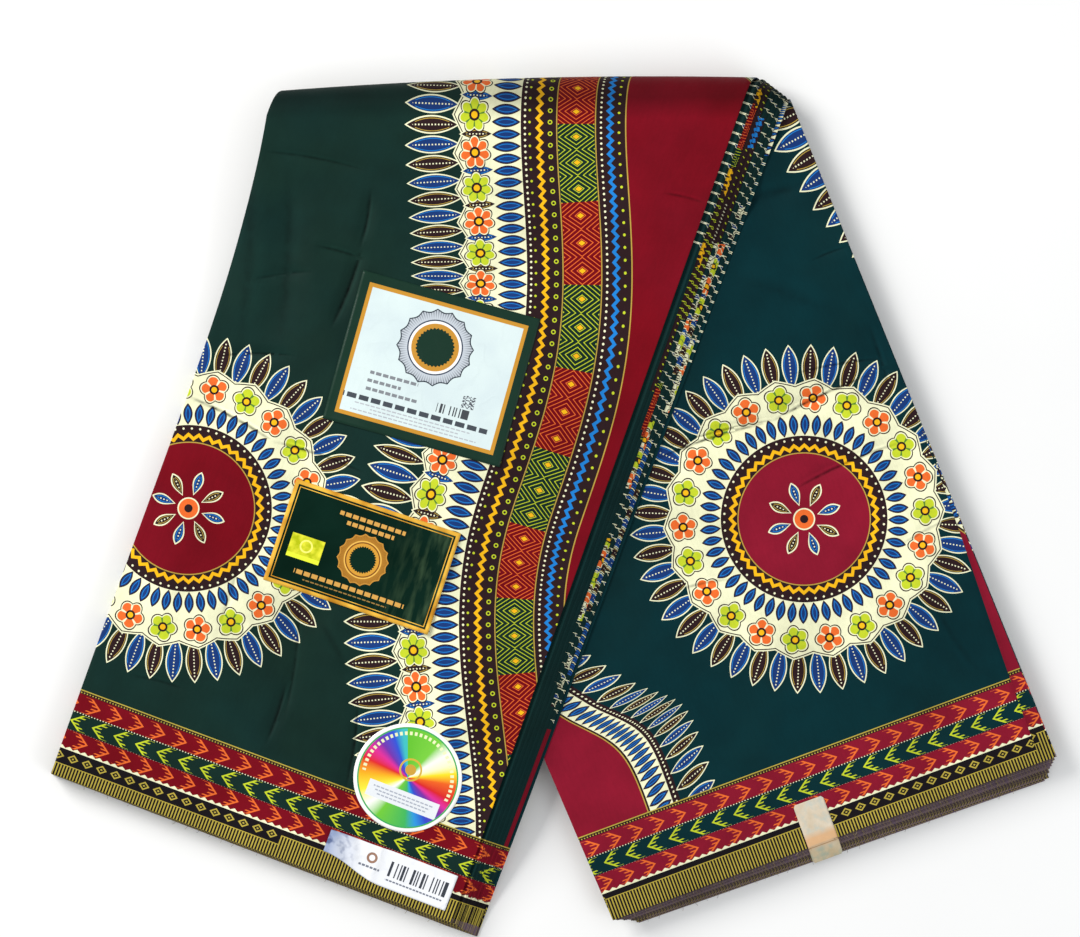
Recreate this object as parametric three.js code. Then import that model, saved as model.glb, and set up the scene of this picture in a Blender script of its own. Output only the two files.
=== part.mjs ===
// A twelve-yard length of wax print cotton, lapped to and fro into one long stack of laps. The stack
// is folded once over an oblique line and laid flat, so that its two legs spread like an upturned V.
// Millimetres: x runs to the right across both legs, y runs up to the fold, z runs up from the table.
//
// A point of the stack has three co-ordinates. A column runs across it, from its left edge to its
// right edge. A row runs along it, from the hem of the front leg, round the fold, to the hem of the
// back leg. A depth runs through it, from the outermost lap to the innermost lap.
import * as THREE from 'three';

// Thicknesses, through one leg.
const WALL = 1;
const SEAM = 0.3;
const CORE = 13.7;
const CORE_LAYERS = 5;
const STACK = WALL + SEAM + CORE + SEAM + WALL;

// The fold: outer radius of the bend, slant of the strip across it, and the low arch of its line.
const FOLD_RADIUS = 17.8;
const FOLD_SLANT = THREE.MathUtils.degToRad(20.6);
const FOLD_ARCH = { peak: 0.62, drop: 18 };

// Corners of the laps in plan. The outermost lap is the top of the front leg, and the innermost lap,
// which is wider on the right, is the top of the back leg.
const FOLD_LEFT = new THREE.Vector2(-184, 291);
const FOLD_RIGHT = new THREE.Vector2(137.5, 294.5);
const FOLD_RIGHT_INNER = new THREE.Vector2(170.5, 294.8);
const FRONT_LEFT = new THREE.Vector2(-363.5, -194.5);
const FRONT_RIGHT = new THREE.Vector2(-73.5, -302.5);
const FRONT_RIGHT_INNER = new THREE.Vector2(-53.5, -309.5);
const BACK_LEFT = new THREE.Vector2(44, -301);
const BACK_RIGHT = new THREE.Vector2(364.5, -182.5);

// The left edge of the front leg swells beside the fold and bows a little along its length.
const LEFT_SWELL = 22;
const LEFT_BOW = 3;

// How far the hems of the covered laps stand out past the lap above them, at the left and the right.
const FRONT_HEM_STEPS = { left: 1.5, right: 4.5 };
const BACK_HEM_STEPS = { left: 9, right: 15 };

// The front leg lies on the back leg, and beside it the cloth slopes down to the table.
const REST = STACK + SEAM;
const SLOPE_START = 18;
const SLOPE_WIDTH = 76;
const FULLNESS_LENGTH = 60;

// Lattice of the laps: layers step outward by one column or row each at the layered edges.
const COLUMNS = 12;
const STEPS = CORE_LAYERS + 1;
const FRONT_ROWS = 16;
const BEND_ROWS = 8;
const BACK_ROWS = 3;
const BEND_START = FRONT_ROWS;
const BACK_START = FRONT_ROWS + BEND_ROWS;
const LAST_ROW = BACK_START + BACK_ROWS;

// Paper labels and tape: plan centre, width, height, and turn of the width from the x axis.
const PAPER = 0.6;
const PAPER_CLEAR = 0.8;
const LABEL_STEP = 10;
const LARGE_LABEL = { x: -87.5, y: 99, width: 133, height: 111, turn: -15.5 };
const FRAMED_LABEL = { x: -138, y: -37, width: 126, height: 77, turn: -18.4 };
const HEM_STICKER = { x: -119, y: -264, width: 98, height: 27, turn: -21, leftTaper: 0.62 };
const ROUND_SEAL = { x: -105, y: -197.5, diameter: 79, rings: 4, sides: 32 };
const PAPER_TAPE = { x: 185.2, y: -214.2, width: 23, lap: 33, reach: 12.5, turn: 20.2 };

const smooth = (x) => THREE.MathUtils.smoothstep(x, 0, 1);
const foldAxis = FOLD_RIGHT_INNER.clone().sub(FOLD_LEFT).normalize();
const foldNormal = new THREE.Vector2(-foldAxis.y, foldAxis.x);
const foldLength = FOLD_RIGHT_INNER.distanceTo(FOLD_LEFT);
const backEdgeTop = FOLD_LEFT.clone().addScaledVector(foldAxis, -LEFT_SWELL);
const backEdge = BACK_LEFT.clone().sub(backEdgeTop).normalize();

// Distance of a plan point to the left of the back leg's left edge.
function besideBackLeg(point) {
  const offset = point.clone().sub(backEdgeTop);
  return offset.x * backEdge.y - offset.y * backEdge.x;
}

// Height of the front leg's underside, toFold being the distance to the fold line.
function frontUnderside(point, toFold) {
  const fullness = (2 * FOLD_RADIUS - STACK - REST) * (1 - smooth(toFold / FULLNESS_LENGTH));
  const slope = 1 - smooth((besideBackLeg(point) - SLOPE_START) / SLOPE_WIDTH);
  return (REST + fullness) * slope;
}

// Position along the fold line of a column, before the cloth goes round the bend.
function alongFold(column) {
  const outer = FOLD_RIGHT.distanceTo(FOLD_LEFT);
  if (column <= COLUMNS) {
    const share = column / COLUMNS;
    return share * outer - LEFT_SWELL * (1 - share) ** 2;
  }
  return THREE.MathUtils.lerp(outer, foldLength, (column - COLUMNS) / STEPS);
}

function foldPoint(along) {
  const share = along / foldLength;
  const arch = -FOLD_ARCH.drop * (share - FOLD_ARCH.peak) ** 2;
  return FOLD_LEFT.clone().addScaledVector(foldAxis, along).addScaledVector(foldNormal, arch);
}

function frontPoint(column, row, depth) {
  const toFold = Math.max(row, 0) / FRONT_ROWS;
  const rise = 1 - (1 - toFold) ** 1.25;
  const share = Math.min(column / COLUMNS, 1);
  const extra = Math.max(column - COLUMNS, 0) / STEPS;
  const hem = FRONT_LEFT.clone().lerp(FRONT_RIGHT, share);
  hem.lerp(FRONT_RIGHT_INNER, extra);
  const fold = foldPoint(alongFold(column));
  const point = hem.clone().lerp(fold, rise);
  const swell = LEFT_SWELL * (rise ** 5 - rise) + LEFT_BOW * Math.sin(Math.PI * rise);
  point.addScaledVector(foldAxis, -swell * (1 - share) ** 2);
  const standOut = THREE.MathUtils.lerp(FRONT_HEM_STEPS.left, FRONT_HEM_STEPS.right, share);
  const outward = hem.clone().sub(fold).normalize();
  point.addScaledVector(outward, standOut * Math.max(-row, 0) / STEPS);
  const underside = frontUnderside(point, point.distanceTo(fold));
  return new THREE.Vector3(point.x, point.y, underside + STACK - depth);
}

// Shift along the fold of a lap at this depth, once it has gone an angle round the slanted bend.
const slip = (depth, angle) => (FOLD_RADIUS - depth) * angle * Math.tan(FOLD_SLANT);

function bendPoint(column, row, depth) {
  const angle = Math.PI * (row - BEND_START) / BEND_ROWS;
  const radius = FOLD_RADIUS - depth;
  const point = foldPoint(alongFold(column) + slip(depth, angle));
  point.addScaledVector(foldNormal, radius * Math.sin(angle));
  return new THREE.Vector3(point.x, point.y, FOLD_RADIUS + radius * Math.cos(angle));
}

function backPoint(column, row, depth) {
  const down = Math.min((row - BACK_START) / BACK_ROWS, 1);
  const along = alongFold(column) + slip(depth, Math.PI);
  const share = (along - slip(STACK, Math.PI) + LEFT_SWELL) / (foldLength + LEFT_SWELL);
  const fold = foldPoint(along);
  const hem = BACK_LEFT.clone().lerp(BACK_RIGHT, share);
  const point = fold.clone().lerp(hem, down);
  const standOut = THREE.MathUtils.lerp(BACK_HEM_STEPS.left, BACK_HEM_STEPS.right, share);
  const outward = hem.clone().sub(fold).normalize();
  point.addScaledVector(outward, standOut * Math.max(row - LAST_ROW, 0) / STEPS);
  return new THREE.Vector3(point.x, point.y, depth);
}

function lapPoint(column, row, depth) {
  if (row <= BEND_START) return frontPoint(column, row, depth);
  if (row <= BACK_START) return bendPoint(column, row, depth);
  return backPoint(column, row, depth);
}

// A closed sheet over a grid of columns and rows: faceAt(side, i, j) gives its points, with side 0
// the face seen with the columns to the right and the rows upward, and side 1 the face behind it.
function closedSheet(columns, rows, faceAt) {
  const positions = [];
  for (const side of [0, 1]) {
    for (let j = 0; j <= rows; j += 1) {
      for (let i = 0; i <= columns; i += 1) positions.push(...faceAt(side, i, j).toArray());
    }
  }
  const at = (side, i, j) => (side * (rows + 1) + j) * (columns + 1) + i;
  const index = [];
  const quad = (a, b, c, d) => index.push(a, b, c, a, c, d);
  for (let j = 0; j < rows; j += 1) {
    for (let i = 0; i < columns; i += 1) {
      quad(at(0, i + 1, j), at(0, i + 1, j + 1), at(0, i, j + 1), at(0, i, j));
      quad(at(1, i + 1, j), at(1, i, j), at(1, i, j + 1), at(1, i + 1, j + 1));
    }
  }
  for (let i = 0; i < columns; i += 1) {
    quad(at(0, i + 1, 0), at(0, i, 0), at(1, i, 0), at(1, i + 1, 0));
    quad(at(0, i, rows), at(0, i + 1, rows), at(1, i + 1, rows), at(1, i, rows));
  }
  for (let j = 0; j < rows; j += 1) {
    quad(at(0, 0, j), at(0, 0, j + 1), at(1, 0, j + 1), at(1, 0, j));
    quad(at(0, columns, j + 1), at(0, columns, j), at(1, columns, j), at(1, columns, j + 1));
  }
  const geometry = new THREE.BufferGeometry();
  geometry.setAttribute('position', new THREE.Float32BufferAttribute(positions, 3));
  geometry.setIndex(index);
  return geometry;
}

// The six faces of a cell of the lattice: the neighbour across each, and its corners in turn.
const CELL_FACES = [
  { across: [0, 0, -1], corners: [[1, 0, 0], [1, 1, 0], [0, 1, 0], [0, 0, 0]] },
  { across: [0, 0, 1], corners: [[1, 0, 1], [0, 0, 1], [0, 1, 1], [1, 1, 1]] },
  { across: [-1, 0, 0], corners: [[0, 0, 0], [0, 1, 0], [0, 1, 1], [0, 0, 1]] },
  { across: [1, 0, 0], corners: [[1, 1, 0], [1, 0, 0], [1, 0, 1], [1, 1, 1]] },
  { across: [0, -1, 0], corners: [[1, 0, 0], [0, 0, 0], [0, 0, 1], [1, 0, 1]] },
  { across: [0, 1, 0], corners: [[0, 1, 0], [1, 1, 0], [1, 1, 1], [0, 1, 1]] },
];

// Laps in layers, the first one numbered firstLayer, between the depths in the list. Each later
// layer reaches one column further to the right and one row further at the front hem, and one row
// less far at the back hem. A face closes the body wherever a layer meets the air.
function lapBody(firstLayer, depths) {
  const layers = depths.length - 1;
  const firstRow = -(firstLayer + layers - 1);
  const filled = ([i, j, k]) => {
    const layer = firstLayer + k;
    const across = i >= 0 && i < COLUMNS + layer;
    return k >= 0 && k < layers && across && j >= -layer && j < LAST_ROW + STEPS - layer;
  };
  const positions = [];
  const index = [];
  const numbers = new Map();
  const vertex = ([i, j, k]) => {
    const key = [i, j, k].join();
    if (!numbers.has(key)) {
      numbers.set(key, numbers.size);
      positions.push(...lapPoint(i, j, depths[k]).toArray());
    }
    return numbers.get(key);
  };
  const step = (cell, offset) => cell.map((value, axis) => value + offset[axis]);
  for (let k = 0; k < layers; k += 1) {
    for (let j = firstRow; j < LAST_ROW + STEPS; j += 1) {
      for (let i = 0; i < COLUMNS + STEPS; i += 1) {
        const cell = [i, j, k];
        if (!filled(cell)) continue;
        for (const face of CELL_FACES) {
          if (filled(step(cell, face.across))) continue;
          const [a, b, c, d] = face.corners.map((corner) => vertex(step(cell, corner)));
          index.push(a, b, c, a, c, d);
        }
      }
    }
  }
  const geometry = new THREE.BufferGeometry();
  geometry.setAttribute('position', new THREE.Float32BufferAttribute(positions, 3));
  geometry.setIndex(index);
  return geometry;
}

// Depths between the bundles of covered laps.
const coreDepths = Array.from({ length: CORE_LAYERS + 1 }, (_, k) => (
  WALL + SEAM + (k * CORE) / CORE_LAYERS
));

// Height of the cloth below a plan point.
function clothHeight(cloth, x, y) {
  const ray = new THREE.Raycaster(new THREE.Vector3(x, y, 4 * STACK), new THREE.Vector3(0, 0, -1));
  return ray.intersectObject(cloth)[0].point.z;
}

// A sheet of paper that follows the cloth, given by the plan point of each of its grid points.
function paperOn(cloth, columns, rows, planAt) {
  return closedSheet(columns, rows, (side, i, j) => {
    const point = planAt(i / columns, j / rows);
    const height = clothHeight(cloth, point.x, point.y) + PAPER_CLEAR + (1 - side) * PAPER;
    return new THREE.Vector3(point.x, point.y, height);
  });
}

function turned(label, across, up) {
  const offset = new THREE.Vector2(across, up);
  offset.rotateAround(new THREE.Vector2(), THREE.MathUtils.degToRad(label.turn));
  return offset.add(new THREE.Vector2(label.x, label.y));
}

function labelSheet(cloth, label) {
  const columns = Math.round(label.width / LABEL_STEP);
  const rows = Math.round(label.height / LABEL_STEP);
  const taper = label.leftTaper ?? 1;
  return paperOn(cloth, columns, rows, (u, v) => {
    const height = label.height * THREE.MathUtils.lerp(taper, 1, smooth(u * 2));
    return turned(label, (u - 0.5) * label.width, (v - 0.5) * height);
  });
}

// A round seal: a disc of rings and sides on the cloth, closed underneath and round its rim.
function sealDisc(cloth, seal) {
  const positions = [];
  const index = [];
  const ringSize = seal.rings * seal.sides + 1;
  for (const side of [0, 1]) {
    for (let k = 0; k < ringSize; k += 1) {
      const ring = Math.ceil(k / seal.sides);
      const angle = (2 * Math.PI * (k - 1)) / seal.sides;
      const radius = (ring / seal.rings) * (seal.diameter / 2);
      const x = seal.x + radius * Math.cos(angle);
      const y = seal.y + radius * Math.sin(angle);
      positions.push(x, y, clothHeight(cloth, x, y) + PAPER_CLEAR + (1 - side) * PAPER);
    }
  }
  const at = (side, ring, k) => side * ringSize + (ring - 1) * seal.sides + (k % seal.sides) + 1;
  for (let k = 0; k < seal.sides; k += 1) {
    index.push(0, at(0, 1, k), at(0, 1, k + 1));
    index.push(ringSize, at(1, 1, k + 1), at(1, 1, k));
    for (let ring = 1; ring < seal.rings; ring += 1) {
      const top = [at(0, ring, k), at(0, ring + 1, k), at(0, ring + 1, k + 1), at(0, ring, k + 1)];
      const under = [at(1, ring, k), at(1, ring, k + 1), at(1, ring + 1, k + 1), at(1, ring + 1, k)];
      for (const [a, b, c, d] of [top, under]) index.push(a, b, c, a, c, d);
    }
    const rim = seal.rings;
    index.push(at(0, rim, k + 1), at(0, rim, k), at(1, rim, k));
    index.push(at(0, rim, k + 1), at(1, rim, k), at(1, rim, k + 1));
  }
  const geometry = new THREE.BufferGeometry();
  geometry.setAttribute('position', new THREE.Float32BufferAttribute(positions, 3));
  geometry.setIndex(index);
  return geometry;
}

// A tape over the hem of the back leg: along its top, then down over the stepped hems to the table.
function hemTape(tape) {
  const lift = PAPER_CLEAR + PAPER;
  const edge = tape.lap + tape.reach;
  const profile = [
    { out: 0, up: STACK + PAPER_CLEAR },
    { out: tape.lap, up: STACK + PAPER_CLEAR },
    { out: edge + lift, up: WALL + PAPER },
    { out: edge + lift, up: SEAM },
  ];
  return closedSheet(1, profile.length - 1, (side, i, j) => {
    const { out, up } = profile[profile.length - 1 - j];
    const raise = (1 - side) * PAPER;
    const plan = turned(tape, (i - 0.5) * tape.width, -out - (out > tape.lap ? raise : 0));
    return new THREE.Vector3(plan.x, plan.y, up + (out > edge ? 0 : raise));
  });
}

function part(name, geometry, color, roughness, metalness = 0) {
  geometry.computeVertexNormals();
  const material = new THREE.MeshStandardMaterial({ color, roughness, metalness });
  const mesh = new THREE.Mesh(geometry, material);
  mesh.name = name;
  mesh.updateMatrixWorld();
  return mesh;
}

const outerLap = part('outer_lap', lapBody(0, [0, WALL]), 0x143a33, 0.7);
const innerLap = part('inner_lap', lapBody(STEPS, [STACK - WALL, STACK]), 0x0f3b3c, 0.7);
const cloth = new THREE.Group();
cloth.add(outerLap, innerLap);
cloth.add(part('hidden_laps', lapBody(1, coreDepths), 0x2c3f3a, 0.75));

const papers = new THREE.Group();
papers.add(part('large_label', labelSheet(outerLap, LARGE_LABEL), 0xf2f2ee, 0.45));
papers.add(part('framed_label', labelSheet(outerLap, FRAMED_LABEL), 0x0f3a2c, 0.4));
papers.add(part('round_seal', sealDisc(outerLap, ROUND_SEAL), 0xe8e4da, 0.3));
papers.add(part('hem_sticker', labelSheet(outerLap, HEM_STICKER), 0xe9ebf0, 0.4));
papers.add(part('paper_tape', hemTape(PAPER_TAPE), 0xdcc9a6, 0.7));

// The origin is on the table, in the middle of the plan of the whole.
const object = new THREE.Group();
object.add(cloth, papers);
const bounds = new THREE.Box3().setFromObject(object);
const middle = bounds.getCenter(new THREE.Vector3());
cloth.position.set(-middle.x, -middle.y, 0);
papers.position.set(-middle.x, -middle.y, 0);

export default object;
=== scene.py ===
import math
import random
import bpy
import numpy as np
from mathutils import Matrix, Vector
from mathutils.bvhtree import BVHTree


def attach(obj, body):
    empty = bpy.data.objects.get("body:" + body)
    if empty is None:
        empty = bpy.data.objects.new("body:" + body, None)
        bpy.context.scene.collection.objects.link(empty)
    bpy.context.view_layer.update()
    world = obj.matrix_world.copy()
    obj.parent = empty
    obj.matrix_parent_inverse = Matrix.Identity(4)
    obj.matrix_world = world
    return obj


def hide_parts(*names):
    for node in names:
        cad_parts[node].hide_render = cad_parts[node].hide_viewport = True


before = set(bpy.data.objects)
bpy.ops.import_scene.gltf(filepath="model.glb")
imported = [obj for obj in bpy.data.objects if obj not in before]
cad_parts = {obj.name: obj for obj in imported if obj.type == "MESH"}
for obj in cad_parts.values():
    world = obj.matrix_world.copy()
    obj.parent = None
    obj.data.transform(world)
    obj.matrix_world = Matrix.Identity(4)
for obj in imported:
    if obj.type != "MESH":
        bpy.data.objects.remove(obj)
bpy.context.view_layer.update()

# The folded cloth: its corners on the table, its stack of laps and its cut, in metres.
cloth = {
    "shift": (-0.000767, 0.001184),
    "foldLeft": (-0.184, 0.291), "foldRight": (0.1375, 0.2945), "foldRightInner": (0.1705, 0.2948),
    "frontLeft": (-0.3635, -0.1945), "frontRight": (-0.0735, -0.3025), "frontRightInner": (-0.0535, -0.3095),
    "backLeft": (0.044, -0.301), "backRight": (0.3645, -0.1825),
    "stack": 0.0163, "seam": 0.0003, "lapThick": 0.001, "fanWidth": 0.027,
    "foldRadius": 0.0178, "foldSlant": math.radians(20.6), "archPeak": 0.62, "archDrop": 0.018,
    "leftSwell": 0.022, "leftBow": 0.003, "fullness": 0.060, "slopeStart": 0.018, "slopeWidth": 0.076,
    "frontHemSteps": (0.0015, 0.0045), "backHemSteps": (0.009, 0.015),
    "frontHemStep": 0.003, "backHemStep": 0.012,
    "width": 1.17, "lapWidth": 0.31, "repeat": 0.62, "backPhase": 0.375, "foldShadow": (0.281, 0.2965),
}
# Rows of the lattice: the front hem is row 0, then come the end of the front leg, the end of the bend and the
# back hem. The laps' hems are fanned out over hemRows more rows at either hem. Each lap is drawn out to its
# own hems before the row frontReach and after the row backReach.
foldRow, turnedRow, backHemRow, hemRows = 16, 24, 27, 6
frontReach, backReach = 2, 26.5
# Columns run from 0 to 1: up to rimStart they cross the top lap, and then what shows beside it.
rimStart, rimWide = 0.98, 0.02

# Soft creases of the top laps: ends on the table, then height (a trough is negative) and half width.
creases = {
    "front": [
        ((-0.269, 0.081), (-0.196, 0.042), -0.0013, 0.005),
        ((-0.206, 0.047), (-0.133, 0.022), -0.0011, 0.0045),
        ((-0.249, 0.108), (-0.183, 0.108), -0.0009, 0.0045),
        ((-0.131, 0.23), (-0.14, 0.183), -0.0009, 0.0045),
        ((-0.137, 0.189), (-0.162, 0.125), -0.0012, 0.005),
        ((-0.173, 0.188), (-0.134, 0.177), -0.0007, 0.004),
        ((-0.219, 0.163), (-0.17, 0.169), -0.0005, 0.005),
        ((-0.212, 0.256), (-0.131, 0.241), -0.0006, 0.004),
        ((-0.192, 0.252), (-0.2, 0.106), -0.0012, 0.016),
        ((-0.22, 0.259), (-0.229, 0.102), 0.0012, 0.018),
        ((-0.183, -0.062), (-0.196, -0.161), -0.0006, 0.0045),
        ((-0.193, -0.127), (-0.209, -0.175), -0.0009, 0.005),
        ((-0.141, -0.14), (-0.151, -0.209), -0.001, 0.0045),
        ((-0.226, -0.031), (-0.244, -0.092), -0.0005, 0.006),
        ((0.079, 0.226), (0.112, 0.218), -0.0006, 0.004),
        ((0.119, 0.304), (0.139, 0.291), -0.0007, 0.004),
        ((-0.171, -0.081), (-0.148, -0.123), 0.0008, 0.012),
        ((-0.309, -0.123), (-0.263, -0.135), -0.0005, 0.005),
    ],
    "back": [
        ((0.067, 0.03), (0.164, 0.062), -0.0013, 0.0045),
        ((0.153, 0.057), (0.243, 0.099), -0.0012, 0.0045),
        ((0.077, 0.04), (0.175, 0.064), -0.0008, 0.004),
        ((0.171, 0.009), (0.26, 0.048), -0.001, 0.0045),
        ((0.167, 0.093), (0.246, 0.107), -0.0008, 0.004),
        ((0.187, 0.177), (0.216, 0.188), -0.0006, 0.004),
        ((0.13, 0.216), (0.184, 0.232), -0.0013, 0.014),
        ((0.127, 0.166), (0.211, 0.137), 0.0008, 0.02),
        ((0.227, 0.137), (0.249, 0.06), -0.0005, 0.006),
        ((0.089, -0.062), (0.135, -0.053), -0.0006, 0.005),
        ((0.249, -0.031), (0.311, -0.001), -0.0006, 0.0045),
        ((0.058, -0.161), (0.104, -0.148), -0.0006, 0.005),
        ((0.311, -0.123), (0.272, -0.062), 0.0006, 0.01),
    ],
}

# The garland of the print: where its middle crosses the cloth, as (across from selvedge, along the length).
garlandLine = [(-0.10, 0.318), (0.05, 0.310), (0.30, 0.245), (0.60, 0.172), (0.80, 0.190), (1.04, 0.262),
               (1.30, 0.300)]
garlandSwing = {"height": 0.017, "wave": 0.42, "start": 0.335}
redBays = [(0.60, 0.20, 0.062), (1.11, 0.20, 0.072)]  # middle across the cloth, half length, extra width
rosettes = [(0.026, 0.215), (0.606, 0.945)]  # centres as (along, across)


def vec(name):
    return np.array(cloth[name], float)


def unit(v):
    return v / np.linalg.norm(v)


def smooth(x):
    x = np.clip(x, 0.0, 1.0)
    return x * x * (3 - 2 * x)


def mix(a, b, t):
    return a + (b - a) * t


def column(x):
    return np.asarray(x, float)[..., None]


def axesOf(left, right):
    along = unit(vec(right) - vec(left))
    return along, np.array([-along[1], along[0]])


foldAxis, foldNormal = axesOf("foldLeft", "foldRightInner")
hemAxis, grainAxis = axesOf("frontLeft", "frontRight")
backHemAxis, backGrainAxis = axesOf("backLeft", "backRight")
foldLength = float(np.linalg.norm(vec("foldRightInner") - vec("foldLeft")))
foldOuter = float(np.linalg.norm(vec("foldRight") - vec("foldLeft")))
backEdgeTop = vec("foldLeft") - foldAxis * cloth["leftSwell"]
backEdge = unit(vec("backLeft") - backEdgeTop)
restHeight = cloth["stack"] + cloth["seam"]


def besideBackLeg(p):
    o = p - backEdgeTop
    return o[..., 0] * backEdge[1] - o[..., 1] * backEdge[0]


def frontUnderside(p, toFold):
    fullness = 2 * cloth["foldRadius"] - cloth["stack"] - restHeight
    fullness = fullness * (1 - smooth(toFold / cloth["fullness"]))
    slope = 1 - smooth((besideBackLeg(p) - cloth["slopeStart"]) / cloth["slopeWidth"])
    return (restHeight + fullness) * slope


def alongFold(share, extra):
    return share * foldOuter - cloth["leftSwell"] * (1 - share) ** 2 + extra * (foldLength - foldOuter)


def foldPoint(along):
    arch = -cloth["archDrop"] * (along / foldLength - cloth["archPeak"]) ** 2
    return vec("foldLeft") + column(along) * foldAxis + column(arch) * foldNormal


def slip(depth, angle):
    return (cloth["foldRadius"] - depth) * angle * math.tan(cloth["foldSlant"])


def besideCrease(p, start, end):
    # How far off a crease each point is, and how the crease fades in and out towards its ends.
    a, b = np.array(start), np.array(end)
    along = b - a
    t = ((p - a) @ along) / (along @ along)
    bow = 0.03 * np.linalg.norm(along) * np.sin(np.pi * np.clip(t, 0, 1))  # none is quite straight
    off = (p - a) @ np.array([-along[1], along[0]]) / np.linalg.norm(along) - bow
    return off, smooth(t / 0.3) * smooth((1 - t) / 0.35)


def creaseHeight(p, which):
    height = np.zeros(p.shape[:-1])
    for start, end, rise, half in creases[which]:
        off, ends = besideCrease(p, start, end)
        height += 2.0 * rise * np.exp(-(off / (0.8 * half)) ** 2) * ends
    x, y = p[..., 0], p[..., 1]
    slow = np.sin(x * 31 + 1.3) * np.sin(y * 23 + 0.4) + 0.6 * np.sin(x * 67 - y * 41)
    return height + 0.00035 * slow


def creaseCoordinates(plan, across):
    # For each face its nearest crease: the distance off it and its strength at each corner.
    found = np.zeros(plan.shape[:2] + (3,))
    found[..., 0] = 1.0
    middle = across.mean(axis=1)
    nearest = np.full(len(plan), 1e9)
    for which, onLeg in (("front", middle < 0.57), ("back", middle > 0.60)):
        for start, end, rise, half in creases[which]:
            off, ends = besideCrease(plan, start, end)
            gap = np.abs(off.mean(axis=1)) / half
            closer = onLeg & (gap < nearest) & (ends.mean(axis=1) > 0.001)
            nearest[closer] = gap[closer]
            strength = min(abs(rise) / 0.0012, 1.0) * (0.005 / half if half > 0.006 else 1.0)
            found[closer] = np.stack([off, ends * strength, np.full(off.shape, half)], -1)[closer]
    return found


# The three stretches of a lap: each gives its plan on the table, its height, and its place along and across
# the unrolled cloth.
def frontLeg(share, extra, row, depth):
    rise = 1 - (1 - np.clip(row, 0, foldRow) / foldRow) ** 1.25
    hem = mix(vec("frontLeft"), vec("frontRight"), column(share))
    hem = hem + column(extra) * (vec("frontRightInner") - vec("frontRight"))
    fold = foldPoint(alongFold(share, extra))
    swell = cloth["leftSwell"] * (rise**5 - rise) + cloth["leftBow"] * np.sin(np.pi * rise)
    plan = mix(hem, fold, column(rise)) - column(swell * (1 - np.minimum(share, 1)) ** 2) * foldAxis
    outward = (hem - fold) / column(np.linalg.norm(hem - fold, axis=-1))
    hemOut = mix(*cloth["frontHemSteps"], np.clip(share, 0, 1)) * np.maximum(-row, 0) / hemRows
    plan = plan + column(hemOut) * outward
    relief = creaseHeight(plan, "front") * (1 - depth / cloth["stack"]) * smooth((foldRow - row) / 2.5)
    height = frontUnderside(plan, np.linalg.norm(plan - fold, axis=-1)) + cloth["stack"] - depth + relief
    fromCorner = plan - vec("frontLeft")
    return plan, height, fromCorner @ hemAxis, fromCorner @ grainAxis + hemOut


def bend(share, extra, row, depth):
    angle = np.pi * np.clip((row - foldRow) / (turnedRow - foldRow), 0, 1)
    radius = cloth["foldRadius"] - depth
    base = foldPoint(alongFold(share, extra) + slip(depth, angle))
    plan = base + column(radius * np.sin(angle)) * foldNormal
    unrolled = base + column(radius * angle) * foldNormal - vec("frontLeft")
    return plan, cloth["foldRadius"] + radius * np.cos(angle), unrolled @ hemAxis, unrolled @ grainAxis


def backLeg(share, extra, row, depth):
    down = np.clip((row - turnedRow) / (backHemRow - turnedRow), 0, 1)
    along = alongFold(share, extra) + slip(depth, math.pi)
    swollen = foldLength + cloth["leftSwell"]
    backShare = (along - slip(cloth["stack"], math.pi) + cloth["leftSwell"]) / swollen
    fold, hem = foldPoint(along), mix(vec("backLeft"), vec("backRight"), column(backShare))
    outward = (hem - fold) / column(np.linalg.norm(hem - fold, axis=-1))
    hemOut = mix(*cloth["backHemSteps"], np.clip(backShare, 0, 1)) * np.maximum(row - backHemRow, 0) / hemRows
    plan = mix(fold, hem, column(down)) + column(hemOut) * outward
    height = depth + creaseHeight(plan, "back") * (depth / cloth["stack"]) * smooth((row - turnedRow) * 3)
    fromCorner = plan - vec("backLeft")
    across = cloth["width"] - (fromCorner @ backGrainAxis + hemOut)
    return plan, height, fromCorner @ backHemAxis + cloth["backPhase"], across


def lapPoint(share, extra, row, depth):
    # A point of the folded cloth, and its place on the unrolled cloth that the print is laid out on.
    place = np.broadcast_arrays(*(np.asarray(v, float) for v in (share, extra, row, depth)))
    inFront, inBack = place[2] <= foldRow, place[2] > turnedRow
    picked = []
    for front, turned, back in zip(frontLeg(*place), bend(*place), backLeg(*place)):
        shape = inFront.shape + (1,) * (front.ndim - inFront.ndim)
        picked.append(np.where(inFront.reshape(shape), front, np.where(inBack.reshape(shape), back, turned)))
    plan, height, along, across = picked
    return (np.concatenate([plan + np.array(cloth["shift"]), column(height)], axis=-1),
            np.stack([along, across], axis=-1))


# The garland's middle line, stepped across the cloth.
lineAcross = np.linspace(-0.1, 1.3, 1401)


def softLine(points, x):
    xs, ys = np.array(points).T
    slopes = np.gradient(ys, xs)
    i = np.clip(np.searchsorted(xs, x) - 1, 0, len(xs) - 2)
    h = xs[i + 1] - xs[i]
    t = (x - xs[i]) / h
    return ((2 * t**3 - 3 * t**2 + 1) * ys[i] + (t**3 - 2 * t**2 + t) * h * slopes[i]
            + (3 * t**2 - 2 * t**3) * ys[i + 1] + (t**3 - t**2) * h * slopes[i + 1])


lineAlong = softLine(garlandLine, lineAcross) + garlandSwing["height"] * np.sin(
    (lineAcross - garlandSwing["start"]) * math.tau / garlandSwing["wave"])
lineSlope = np.gradient(lineAlong, lineAcross)
lineTurn = np.gradient(lineSlope, lineAcross)
lineLength = np.concatenate([[0], np.cumsum(np.hypot(np.diff(lineAcross), np.diff(lineAlong)))])


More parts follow.
